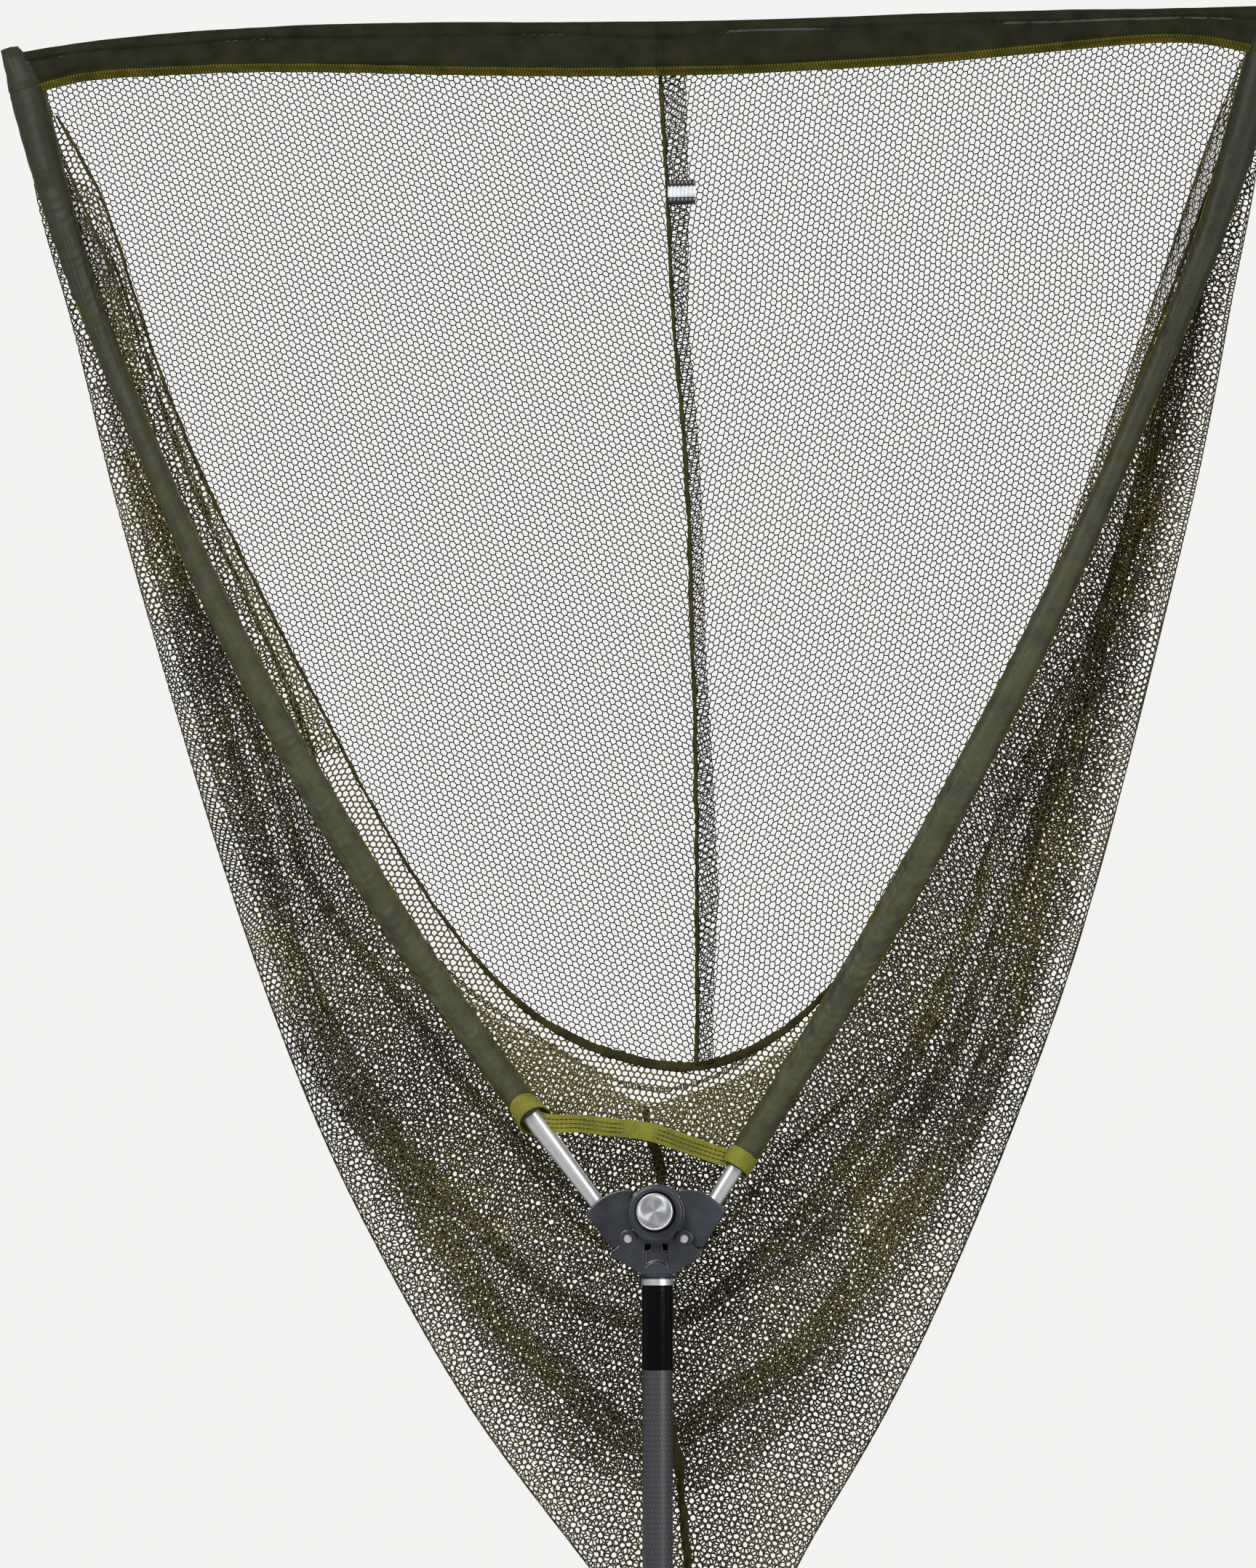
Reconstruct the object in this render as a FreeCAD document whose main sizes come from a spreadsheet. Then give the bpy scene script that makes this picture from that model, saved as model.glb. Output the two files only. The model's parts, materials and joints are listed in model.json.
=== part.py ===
"""Folding landing net: bowed arms on a push-button spreader block, a carbon handle and a deep mesh bag.

Millimetres. +Z runs up the handle towards the net, +X to the right arm, -Y to the side that the button
faces. The origin is the centre of the handle's butt face.
"""

import FreeCAD
import Part
import math
import os
import re
import Sketcher

V = FreeCAD.Vector
ORIGIN = V(0, 0, 0)
SIDES = {"left": -1, "right": 1}

# Driving dimensions, in millimetres and degrees. Heights in the head are measured up from the line of
# the two pivot bolts, which lies bolt_height above the butt face.
DIMENSIONS = {
    # handle
    "handle_outer": 12.7,
    "handle_inner": 11.3,
    "butt_radius": 14.2,
    "butt_floor": 4,
    "butt_depth": 30,
    "trim_ring_width": 4,
    "trim_ring_radius": 14.6,
    "grip_radius": 15.6,
    "grip_length": 320,
    "sleeve_radius": 13.1,
    "sleeve_length": 70,
    "insert_length": 45,
    "stud_radius": 4.7,
    "stud_hole": 4.76,
    "stud_reach": 22,
    "stud_length": 46,
    "collar_radius": 13.5,
    "collar_width": 5,
    "spacer_radius": 12,
    "spacer_width": 1.5,
    # spreader block
    "bolt_height": 1838,
    "bolt_spacing": 46.8,
    "bolt_radius": 2.5,
    "bolt_hole": 2.56,
    "bolt_head": 3.4,
    "bolt_head_height": 2.4,
    "nut_radius": 4.6,
    "nut_height": 4,
    "ear_radius": 7.6,
    "ear_pad": 1.5,
    "cheek_inner": 11.6,
    "cheek_outer": 15.5,
    "washer_radius": 7.8,
    "washer_inner": 11.05,
    "washer_outer": 11.55,
    "stem_radius": 13.5,
    "stem_depth": 32,
    "recess_half": 9.8,
    "recess_depth": 5,
    "recess_head": 4,
    "recess_foot": 26,
    "arch_radius": 12,
    "arch_centre": 31,
    "spine_half": 5.5,
    "spine_top": 31,
    "hub_clearance": 9.6,
    "boss_height": 21,
    "boss_radius": 22.4,
    "boss_flange": 24.2,
    "boss_face": 24,
    "boss_well": 16.6,
    "well_floor": 14,
    "rear_boss": 17,
    "rear_boss_face": 26,
    "rear_well": 13,
    "rear_cover_width": 1.6,
    # button
    "button_height": 22.3,
    "knob_radius": 15.8,
    "knob_back": 19,
    "knob_front": 33,
    "disc_radius": 15.1,
    "disc_front": 34.6,
    "spring_pocket": 9,
    "spring_pocket_floor": 27,
    "spring_radius": 6.4,
    "spring_wire": 0.6,
    "spring_turns": 4,
    "plunger_radius": 3.5,
    "plunger_bore": 3.56,
    "plunger_groove": 2.9,
    "plunger_end": 19.5,
    "clip_front": 15.6,
    "clip_back": 16.8,
    "clip_radius": 6,
    # wings and ferrules
    "wing_radius": 41,
    "wing_half": 11,
    "wing_outer": 16.5,
    "wing_inner_angle": 38,
    "hub_radius": 9,
    "socket_offset": 4,
    "socket_radius": 6.3,
    "socket_floor": 17,
    "ferrule_top_radius": 9,
    "ferrule_end": 150,
    "rod_start": 96,
    "rod_base_radius": 6.6,
    "rod_tip_radius": 3.6,
    # arms, as they stand with the mouth cord tight
    "left_base_angle": 37.1,
    "right_base_angle": 32.5,
    "left_tip_out": 557,
    "left_tip_up": 1020,
    "left_tip_angle": 14,
    "right_tip_out": 524,
    "right_tip_up": 1024,
    "right_tip_angle": 15,
    "left_sleeve_start": 132,
    "right_sleeve_start": 73,
    "cap_radius": 6.4,
    "cap_reach": 12,
    "cloth": 1.2,
    "loop_width": 15,
    "pocket_radius": 14.5,
    "pocket_back": 46,
    "pocket_front": 16,
    # mouth
    "cord_radius": 2.5,
    "cord_level": 1029.5,
    "cord_short": 6.6,
    "pocket_wall": 1.5,
    "hem_half": 4,
    "strap_half_width": 7.5,
    "strap_front": 1.6,
    # bag
    "mesh": 1,
    "panel_top": 1007,
    "panel_top_depth": 10,
    "panel_foot": 155,
    "panel_foot_depth": 96,
    "right_draw_in": 18,
    "pouch_front": 30,
    "pouch_back": 112,
    "pouch_wall": 1.2,
    "seam_half": 2,
    "clip_width": 25,
    "clip_height": 21,
    "clip_depth": 9,
    "clip_level": 894,
    "clip_left": 9,
    "seam_top_shift": 3,
    "seam_foot_shift": 29,
}

doc = FreeCAD.newDocument("LandingNet")
sheet = doc.addObject("Spreadsheet::Sheet", "dims")
for row, (alias, value) in enumerate(DIMENSIONS.items(), 1):
    sheet.set(f"A{row}", alias)
    sheet.set(f"B{row}", str(value))
    sheet.setAlias(f"B{row}", alias)
doc.recompute()

nodes = []


def size(alias):
    """The number in a cell of the sheet."""
    return float(sheet.get(alias))


def bind(item, prop, text):
    """Bind a property to an expression whose words are cells of the sheet."""
    named = re.sub(r"[a-z][a-z_]+", lambda m: "dims." + m[0] if m[0] in DIMENSIONS else m[0], text)
    item.setExpression(prop, named)


def node(item, label):
    """Keep a finished sub-part under its own name."""
    item.Label = label
    nodes.append(item)
    return item


def place(item, x="0", y="0", z="0", turn=None):
    """Place an item by expressions; turn is (axis, angle in degrees as an expression)."""
    if turn:
        item.Placement = FreeCAD.Placement(ORIGIN, FreeCAD.Rotation(turn[0], 1))
        bind(item, "Placement.Rotation.Angle", f"({turn[1]}) * 1deg")
    for axis, text in zip("xyz", (x, y, z)):
        bind(item, f"Placement.Base.{axis}", text)
    return item


def sketch_outline(body, corners):
    """A closed outline on the body's XZ plane, each corner bound to its two expressions."""
    plane = next(f for f in body.Origin.OriginFeatures if f.Role == "XZ_Plane")
    sketch = body.newObject("Sketcher::SketchObject", body.Name + "_outline")
    sketch.AttachmentSupport = [(plane, "")]
    sketch.MapMode = "FlatFace"
    probe = [[sheet_value(text) for text in corner] for corner in corners]
    count = len(corners)
    for i, (x, z) in enumerate(probe):
        after = probe[(i + 1) % count]
        sketch.addGeometry(Part.LineSegment(V(x, z, 0), V(after[0], after[1], 0)), False)
    for i in range(count):
        sketch.addConstraint(Sketcher.Constraint("Coincident", i, 2, (i + 1) % count, 1))
    for i, corner in enumerate(corners):
        for kind, text, value in zip(("DistanceX", "DistanceY"), corner, probe[i]):
            number = sketch.addConstraint(Sketcher.Constraint(kind, -1, 1, i, 1, value))
            sketch.renameConstraint(number, f"{kind}_{i}")
            bind(sketch, f"Constraints.{kind}_{i}", text)
    return sketch


def sheet_value(text):
    """Work out an expression in the sheet's words, to draw a sketch before it is constrained."""
    scratch = sheet_probe
    bind(scratch, "Placement.Base.x", text)
    scratch.recompute()
    return scratch.Placement.Base.x


sheet_probe = doc.addObject("Part::Vertex", "probe")


def turned(name, profile):
    """A body of revolution about its own Z axis; the profile's corners are (radius, height)."""
    body = doc.addObject("PartDesign::Body", name)
    sketch = sketch_outline(body, profile)
    spin = body.newObject("PartDesign::Revolution", name + "_turn")
    spin.Profile = sketch
    spin.ReferenceAxis = (sketch, ["V_Axis"])
    spin.Angle = 360
    return body


def tube(name, inner, outer, low, high):
    return turned(name, [(inner, low), (outer, low), (outer, high), (inner, high)])


def slab(name, corners, front, back):
    """An outline in X and Z, padded from y = -front to y = back."""
    body = doc.addObject("PartDesign::Body", name)
    sketch = sketch_outline(body, corners)
    pad = body.newObject("PartDesign::Pad", name + "_pad")
    pad.Profile = sketch
    bind(pad, "Length", f"{front} + ({back})")
    place(body, y=back)
    return body


def peg(name, radius, front, back, x="0", z="0"):
    """A cylinder along Y from y = -front to y = back."""
    item = doc.addObject("Part::Cylinder", name)
    bind(item, "Radius", radius)
    bind(item, "Height", f"{front} + ({back})")
    item.Placement = FreeCAD.Placement(ORIGIN, FreeCAD.Rotation(V(1, 0, 0), -90))
    return place(item, x, f"-({front})", z)


def box(name, low, high):
    """A box between two corners, each given as three expressions."""
    item = doc.addObject("Part::Box", name)
    for prop, a, b in zip(("Length", "Width", "Height"), low, high):
        bind(item, prop, f"({b}) - ({a})")
    return place(item, *low)


def fuse(name, items):
    joined = doc.addObject("Part::MultiFuse", name)
    joined.Shapes = items
    joined.Refine = True
    return joined


def common(name, items):
    shared = doc.addObject("Part::MultiCommon", name)
    shared.Shapes = items
    return shared


def cut(name, base, tools):
    cutter = tools[0] if len(tools) == 1 else fuse(name + "_tools", tools)
    left = doc.addObject("Part::Cut", name)
    left.Base = base
    left.Tool = cutter
    return left


def made(name, shape):
    """A sub-part whose shape is worked out here, from the sheet's numbers."""
    item = doc.addObject("Part::Feature", name)
    item.Shape = shape
    return node(item, name)


# Handle: a carbon tube with a cap and a grip at the butt, and a gloss sleeve at the head end.


def build_handle():
    top = "bolt_height - stem_depth - spacer_width - collar_width"
    node(tube("tube_body", "handle_inner", "handle_outer", "butt_floor", top), "handle_tube")
    cap = [("0", "0"), ("butt_radius - 2", "0"), ("butt_radius", "2"), ("butt_radius", "butt_depth"),
           ("handle_outer", "butt_depth"), ("handle_outer", "butt_floor"), ("0", "butt_floor")]
    node(turned("cap_body", cap), "butt_cap")
    ring_top = "butt_depth + trim_ring_width"
    node(tube("trim_body", "handle_outer", "trim_ring_radius", "butt_depth", ring_top), "grip_trim_ring")
    grip_top = f"{ring_top} + grip_length"
    grip = [("handle_outer", ring_top), ("grip_radius", ring_top), ("grip_radius", f"{grip_top} - 6"),
            ("handle_outer + 0.8", grip_top), ("handle_outer", grip_top)]
    node(turned("grip_body", grip), "handle_grip")
    node(tube("sleeve_body", "handle_outer", "sleeve_radius", f"{top} - sleeve_length", top), "top_sleeve")
    node(tube("insert_body", "stud_hole", "handle_inner", f"{top} - insert_length", top), "thread_insert")
    node(tube("collar_body", "stud_hole", "collar_radius", top, f"{top} + collar_width"), "collar_ring")
    spacer_low = f"{top} + collar_width"
    node(tube("spacer_body", "stud_hole", "spacer_radius", spacer_low, f"{spacer_low} + spacer_width"),
         "spacer_washer")
    stud_top = "bolt_height - stem_depth + stud_reach"
    stud = turned("stud_body", [("0", f"{stud_top} - stud_length"), ("stud_radius", f"{stud_top} - stud_length"),
                                ("stud_radius", stud_top), ("0", stud_top)])
    node(stud, "spreader_stud")


# Spreader core: a round stem, two cheek plates that hold the wings, a boss for the button at the front and
# a smaller one at the back.


def build_core():
    stem = turned("stem", [("0", "-stem_depth"), ("stem_radius - 1.5", "-stem_depth"),
                           ("stem_radius", "1.5 - stem_depth"), ("stem_radius", "-hub_clearance"),
                           ("0", "-hub_clearance")])
    foot = [("-13", "-29"), ("-38", "-14"), ("-37.4", "-hub_clearance"), ("37.4", "-hub_clearance"),
            ("38", "-14"), ("13", "-29")]
    flanks = slab("flanks", foot, "cheek_outer", "cheek_outer")
    spine = box("spine", ("-spine_half", "-cheek_outer", "-20"), ("spine_half", "cheek_outer", "spine_top"))
    web = [("-37.4", "-10.5"), ("-30", "-4.5"), ("-18", "6"), ("-21", "28"), ("-20", "36.5"), ("-14", "40.2"),
           ("14", "40.2"), ("20", "36.5"), ("21", "28"), ("18", "6"), ("30", "-4.5"), ("37.4", "-10.5")]
    parts = [stem, flanks, spine]
    for face, front, back in (("front", "cheek_outer", "-cheek_inner"), ("rear", "-cheek_inner", "cheek_outer")):
        parts.append(slab(face + "_web", web, front, back))
        parts.append(peg(face + "_flange", "boss_flange", front, back, z="boss_height"))
        for side, sign in SIDES.items():
            parts.append(peg(f"{face}_{side}_ear", "ear_radius", f"{front} + ear_pad" if face == "front" else front,
                             back, x=f"{sign} * bolt_spacing / 2"))
    parts.append(peg("boss", "boss_radius", "boss_face", "-cheek_inner", z="boss_height"))
    parts.append(peg("rear_boss_blank", "rear_boss", "-cheek_inner", "rear_boss_face", z="button_height"))
    tools = [peg("well", "boss_well", "boss_face + 1", "-well_floor", z="button_height"),
             peg("rear_well_cut", "rear_well", "-cheek_outer", "rear_boss_face + 1", z="button_height"),
             peg("plunger_way", "plunger_bore", "cheek_outer + 2", "cheek_outer + 2", z="button_height"),
             cut("recess", box("recess_flat", ("-recess_half", "-cheek_outer - 1", "-recess_foot"),
                               ("recess_half", "-cheek_outer + recess_depth", "-recess_head")),
                 [peg("recess_arch", "arch_radius", "cheek_outer + 2", "0", z="-arch_centre")])]
    for side, sign in SIDES.items():
        tools.append(peg(side + "_bolt_way", "bolt_hole", "cheek_outer + 3", "cheek_outer + 3",
                         x=f"{sign} * bolt_spacing / 2"))
    stud_way = turned("stud_way", [("0", "-stem_depth - 1"), ("stud_radius", "-stem_depth - 1"),
                                   ("stud_radius", "stud_reach - stem_depth"), ("0", "stud_reach - stem_depth")])
    tools.append(stud_way)
    core = cut("core_cut", fuse("core_blank", parts), tools)
    return node(place(core, z="bolt_height"), "spreader_core")


def build_fasteners():
    for side, sign in SIDES.items():
        x = f"{sign} * bolt_spacing / 2"
        head = "cheek_outer + ear_pad"
        bolt = turned(side + "_bolt_body", [
            ("0", f"-({head} + bolt_head_height)"), ("bolt_head * 0.6", f"-({head} + bolt_head_height)"),
            ("bolt_head", f"-({head} + bolt_head_height * 0.45)"), ("bolt_head", f"-({head})"),
            ("bolt_radius", f"-({head})"), ("bolt_radius", "cheek_outer + nut_height"),
            ("0", "cheek_outer + nut_height")])
        bolt.Placement = FreeCAD.Placement(ORIGIN, FreeCAD.Rotation(V(1, 0, 0), -90))
        node(place(bolt, x, "0", "bolt_height"), side + "_pivot_bolt")
        corners = [(f"nut_radius * {math.cos(math.radians(a)):.4f}", f"nut_radius * {math.sin(math.radians(a)):.4f}")
                   for a in range(0, 360, 60)]
        nut = slab(side + "_nut_body", corners, "-cheek_outer", "cheek_outer + nut_height")
        way = peg(side + "_nut_way", "bolt_radius", "0", "cheek_outer + nut_height + 1")
        node(place(cut(side + "_nut", nut, [way]), x, "0", "bolt_height"), side + "_pivot_nut")
        rings = []
        for face, low, high in (("front", "-washer_outer", "-washer_inner"), ("rear", "washer_inner", "washer_outer")):
            ring = tube(f"{side}_{face}_washer", "bolt_hole", "washer_radius", low, high)
            ring.Placement = FreeCAD.Placement(ORIGIN, FreeCAD.Rotation(V(1, 0, 0), -90))
            rings.append(ring)
        pair = doc.addObject("Part::Compound", side + "_washer_pair")
        pair.Links = rings
        node(place(pair, x, "0", "bolt_height"), side + "_friction_washers")
    cover = turned("cover_body", [("0", "rear_boss_face"), ("rear_boss - 1", "rear_boss_face"),
                                  ("rear_boss - 1", "rear_boss_face + rear_cover_width * 0.5"),
                                  ("rear_boss - 2", "rear_boss_face + rear_cover_width"),
                                  ("0", "rear_boss_face + rear_cover_width")])
    cover.Placement = FreeCAD.Placement(ORIGIN, FreeCAD.Rotation(V(1, 0, 0), -90))
    node(place(cover, z="bolt_height + button_height"), "rear_cover")


# Button: a black knob with a turned steel disc, on a steel plunger that slides through the core against a
# coil spring. A retaining clip behind the rear cheek keeps it in.


def build_button():
    level = "bolt_height + button_height"
    knob = [("plunger_radius", "-knob_front"), ("knob_radius - 0.4", "-knob_front"),
            ("knob_radius", "0.8 - knob_front"), ("knob_radius", "-knob_back"), ("spring_pocket", "-knob_back"),
            ("spring_pocket", "-spring_pocket_floor"), ("plunger_radius", "-spring_pocket_floor")]
    disc = [("0", "-disc_front"), ("disc_radius - 0.5", "-disc_front"), ("disc_radius", "0.5 - disc_front"),
            ("disc_radius", "-knob_front"), ("0", "-knob_front")]
    plunger = [("0", "-knob_front"), ("plunger_radius", "-knob_front"), ("plunger_radius", "clip_front"),
               ("plunger_groove", "clip_front"), ("plunger_groove", "clip_back"), ("plunger_radius", "clip_back"),
               ("plunger_radius", "plunger_end"), ("0", "plunger_end")]
    clip = [("plunger_groove", "clip_front"), ("clip_radius", "clip_front"), ("clip_radius", "clip_back"),
            ("plunger_groove", "clip_back")]
    for label, profile in (("button_knob", knob), ("button_disc", disc), ("button_plunger", plunger),
                           ("retaining_clip", clip)):
        body = turned(label + "_body", profile)
        body.Placement = FreeCAD.Placement(ORIGIN, FreeCAD.Rotation(V(1, 0, 0), -90))
        node(place(body, z=level), label)


def build_spring():
    """A coil spring from the floor of the core's well to the floor of the knob's pocket."""
    radius, wire = size("spring_radius"), size("spring_wire")
    length = size("spring_pocket_floor") - size("well_floor") - 2 * wire - 0.1
    pitch = length / size("spring_turns")
    path = Part.Wire(Part.makeLongHelix(pitch, length, radius).Edges)
    section = Part.Wire(Part.makeCircle(wire, V(radius, 0, 0), V(0, 1, 0)))
    coil = path.makePipeShell([section], True, True)
    coil.Placement = FreeCAD.Placement(
        V(0, -size("well_floor") - wire - 0.05, size("bolt_height") + size("button_height")),
        FreeCAD.Rotation(V(1, 0, 0), 90))
    made("return_spring", coil)


# Wings: each is a sector of a thick disc about its pivot bolt, with a socket for the ferrule.


def arm_frame(item, side, sign):
    """Stand an item, made upright about the pivot bolt, at its arm's base angle."""
    return place(item, f"{sign} * bolt_spacing / 2", "0", "bolt_height",
                 turn=(V(0, 1, 0), f"{sign} * {side}_base_angle"))


def build_wing(side, sign):
    reach = math.radians(size("wing_inner_angle"))
    tip = (f"wing_radius * {1.3 * math.sin(reach):.4f}", f"wing_radius * {1.3 * math.cos(reach):.4f}")
    shape = [("-wing_outer", "2"), ("-wing_outer", "wing_radius * 1.1"), ("0", "wing_radius * 1.3"), tip,
             ("hub_radius * 0.94", "3"), ("0", "-hub_radius * 0.5"), ("-hub_radius * 0.7", "-hub_radius * 0.7")]
    corners = [(f"{-sign} * ({x})", z) for x, z in shape]
    sector = common(side + "_sector", [slab(side + "_wing_slab", corners, "wing_half", "wing_half"),
                                       peg(side + "_wing_disc", "wing_radius", "wing_half", "wing_half")])
    blank = fuse(side + "_wing_blank", [sector, peg(side + "_hub", "hub_radius", "wing_half", "wing_half")])
    socket = turned(side + "_socket", [("0", "socket_floor"), ("socket_radius", "socket_floor"),
                                       ("socket_radius", "wing_radius + 4"), ("0", "wing_radius + 4")])
    place(socket, x=f"{sign} * socket_offset")
    way = peg(side + "_pivot_way", "bolt_hole", "wing_half + 1", "wing_half + 1")
    wing = cut(side + "_wing_cut", blank, [socket, way])
    node(arm_frame(wing, side, sign), side + "_wing")


def build_ferrule(side, sign):
    cone = [("0", "socket_floor"), ("socket_radius", "socket_floor"), ("socket_radius", "wing_radius + 1"),
            ("ferrule_top_radius", "ferrule_end"), ("rod_base_radius", "ferrule_end"),
            ("rod_base_radius", "rod_start"), ("0", "rod_start")]
    ferrule = doc.addObject("Part::Compound", side + "_ferrule_set")
    body = place(turned(side + "_ferrule_body", cone), x=f"{sign} * socket_offset")
    ferrule.Links = [body]
    node(arm_frame(ferrule, side, sign), side + "_ferrule")


class Arm:
    """The arm's centre line: straight out of the wing to the ferrule's end, then one bowed curve."""

    def __init__(self, side, sign):
        self.side, self.sign = side, sign
        base = math.radians(size(side + "_base_angle"))
        end = math.radians(size(side + "_tip_angle"))
        self.out = V(sign * math.sin(base), 0, math.cos(base))
        across = V(sign * math.cos(base), 0, -math.sin(base))
        bolt = V(sign * size("bolt_spacing") / 2, 0, size("bolt_height"))
        self.root = bolt + across * size("socket_offset")
        self.start = self.root + self.out * size("ferrule_end")
        self.end_out = V(sign * math.sin(end), 0, math.cos(end))
        self.tip = V(sign * size(side + "_tip_out"), 0, size("bolt_height") + size(side + "_tip_up"))
        # the bow's middle pole is where the tangents at its two ends meet
        gap = self.tip - self.start
        cross = self.out.x * self.end_out.z - self.out.z * self.end_out.x
        run = (gap.x * self.end_out.z - gap.z * self.end_out.x) / cross
        self.curve = Part.BezierCurve()
        self.curve.setPoles([self.start, self.start + self.out * run, self.tip])
        self.length = self.curve.length()

    def station(self, distance):
        """Point and direction at a distance from the bolt, measured along the arm."""
        bowed = distance - size("ferrule_end")
        if bowed <= 0:
            return self.root + self.out * distance, self.out
        if bowed >= self.length:
            return self.tip + self.end_out * (bowed - self.length), self.end_out
        where = self.curve.parameterAtDistance(bowed, 0.0)
        return self.curve.value(where), self.curve.tangent(where)[0]

    def total(self):
        return size("ferrule_end") + self.length

    def round_bar(self, stops):
        """A solid of round section through (distance, radius) stops."""
        rings = []
        for distance, radius in stops:
            point, along = self.station(distance)
            rings.append(Part.Wire(Part.makeCircle(radius, point, along)))
        return Part.makeLoft(rings, True, False)


def spaced(first, last, count):
    return [first + (last - first) * i / (count - 1) for i in range(count)]


def build_rod(arm):
    total = arm.total()
    taper = [(d, size("rod_base_radius") + (size("rod_tip_radius") - size("rod_base_radius")) * f)
             for d, f in zip(spaced(size("rod_start"), total, 10), spaced(0, 1, 10))]
    straight = arm.round_bar(taper[:1] + [(size("ferrule_end"), taper[0][1])])
    bowed = arm.round_bar([(size("ferrule_end"), taper[0][1])] + taper[1:])
    made(arm.side + "_arm_rod", straight.fuse(bowed).removeSplitter())
    cap = arm.round_bar([(total - 22, size("cap_radius")), (total + size("cap_reach"), size("cap_radius"))])
    hole = arm.round_bar([(d, r + 0.02) for d, r in taper[-2:]])
    made(arm.side + "_tip_cap", cap.cut(hole))


def sleeve_radius_at(arm, distance):
    """The cloth tube hangs loose at its lower end and lies close to the rod further up."""
    along = (distance - size(arm.side + "_sleeve_start")) / 260.0
    return 9.2 + 5.4 * max(0.0, 1.0 - along) ** 1.6


def build_sleeve(arm):
    first = size(arm.side + "_sleeve_start")
    last = arm.total() - size("pocket_back") - 1
    stops = [first, first + 60, first + 130, first + 260] + spaced(first + 400, last, 5)
    outer = arm.round_bar([(d, sleeve_radius_at(arm, d)) for d in stops])
    inner = arm.round_bar([(d, sleeve_radius_at(arm, d) - size("cloth")) for d in stops])
    made(arm.side + "_arm_sleeve", outer.cut(inner))
    band = first + size("loop_width")
    loop = [(first, size("cloth") + sleeve_radius_at(arm, first) + 0.6),
            (band, size("cloth") + sleeve_radius_at(arm, first) + 0.6)]
    ring = arm.round_bar(loop).cut(arm.round_bar([(d, r - size("cloth") - 0.3) for d, r in loop]))
    made(arm.side + "_strap_loop", ring)


def build_corner(arm):
    """The pocket that the arm's tip sits in, with a slot on its inner side for the mouth cord and hem."""
    total = arm.total()
    low, high = total - size("pocket_back"), total + size("pocket_front")
    radius = size("pocket_radius")
    outer = arm.round_bar([(low, radius - 3), (low + 30, radius), (high - 5, radius), (high, radius - 5)])
    inner = radius - size("pocket_wall")
    hollow = arm.round_bar([(low, inner - 3), (low + 30, inner), (high - 5, inner), (high - 3, radius - 5)])
    middle = arm.station(total)[0]
    slot = Part.makeBox(radius * 2, 2 * size("hem_half"), 24)
    corner = V(middle.x if arm.sign < 0 else middle.x - 2 * radius, -size("hem_half"),
               size("bolt_height") + size("cord_level") - 12)
    slot.translate(corner)
    made(arm.side + "_corner_pocket", outer.cut(hollow).cut(slot))


# Mouth: a cord between the arm tips inside a flat hem, and a webbing strap between the sleeves' lower ends.


def prism(points, front, back):
    """A solid over an outline of (x, z) points, heights measured from the pivot bolts."""
    corners = [V(x, front, z + size("bolt_height")) for x, z in points]
    face = Part.Face(Part.makePolygon(corners + corners[:1]))
    return face.extrude(V(0, back - front, 0))


def build_mouth():
    left_end, right_end = (sign * (size(side + "_tip_out") - size("cord_short")) for side, sign in SIDES.items())
    level = size("bolt_height") + size("cord_level")
    cord = Part.makeCylinder(size("cord_radius"), right_end - left_end, V(left_end, 0, level), V(1, 0, 0))
    made("mouth_cord", cord)
    outline = [(-538, 1043), (-453, 1055), (-297, 1061), (0, 1055), (252, 1056), (505, 1056),
               (505, 1018), (377, 1021), (189, 1011), (0, 1008), (-193, 1012), (-387, 1019), (-538, 1015)]
    way = Part.makeCylinder(size("cord_radius") + 0.6, 1300, V(-650, 0, level), V(1, 0, 0))
    made("top_hem", prism(outline, -size("hem_half"), size("hem_half")).cut(way))


def build_cross_strap():
    """A band whose middle line sags from the left loop to the right one."""
    half = size("strap_half_width")
    line = [(-83, 96.5), (-67, 95.5), (-40, 93.3), (-12, 90), (4, 85.5), (27, 78), (44, 71)]
    upper = [(x, z + half) for x, z in line]
    lower = [(x, z - half) for x, z in reversed(line)]
    made("cross_strap", prism(upper + lower, -size("strap_front") * 2, -size("strap_front")))


# Bag: a flat base panel behind the mouth and a deep pouch whose edge folds up to the arms, each in a left
# and a right half, joined by seams.

BASE_EDGE = [(515, 0.0), (487, 0.16), (447, 0.32), (397, 0.48), (325, 0.65), (236, 0.8), (148, 0.92), (64, 0.985)]
SILHOUETTE = {
    "left": [(548, 930), (529, 827), (491, 686), (454, 553), (411, 409), (335, 184), (278, 51), (221, -55),
             (159, -154), (96, -240), (50, -310), (0, -362)],
    "right": [(524, 930), (515, 891), (495, 799), (469, 670), (437, 541), (404, 414), (338, 194), (278, 44),
              (233, -60), (172, -177), (106, -290), (52, -350), (0, -368)],
}


def panel_frame(shape):
    """Lean a panel drawn flat at its top edge back to its foot."""
    rise = size("panel_top") - size("panel_foot")
    lean = math.degrees(math.atan2(size("panel_foot_depth") - size("panel_top_depth"), rise))
    hinge = V(0, 0, size("bolt_height") + size("panel_top"))
    shape.rotate(hinge, V(1, 0, 0), lean)
    shape.translate(V(0, size("panel_top_depth"), 0))
    return shape


def base_edge(sign, inset):
    """The panel's curved edge from its top corner to the foot, drawn in by an inset."""
    drop = size("panel_top") - size("panel_foot")
    points = []
    for x, fraction in BASE_EDGE:
        reach = x - inset - (size("right_draw_in") if sign > 0 else 0)
        points.append((sign * reach, size("panel_top") - fraction * drop + inset * fraction))
    return points


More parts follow.
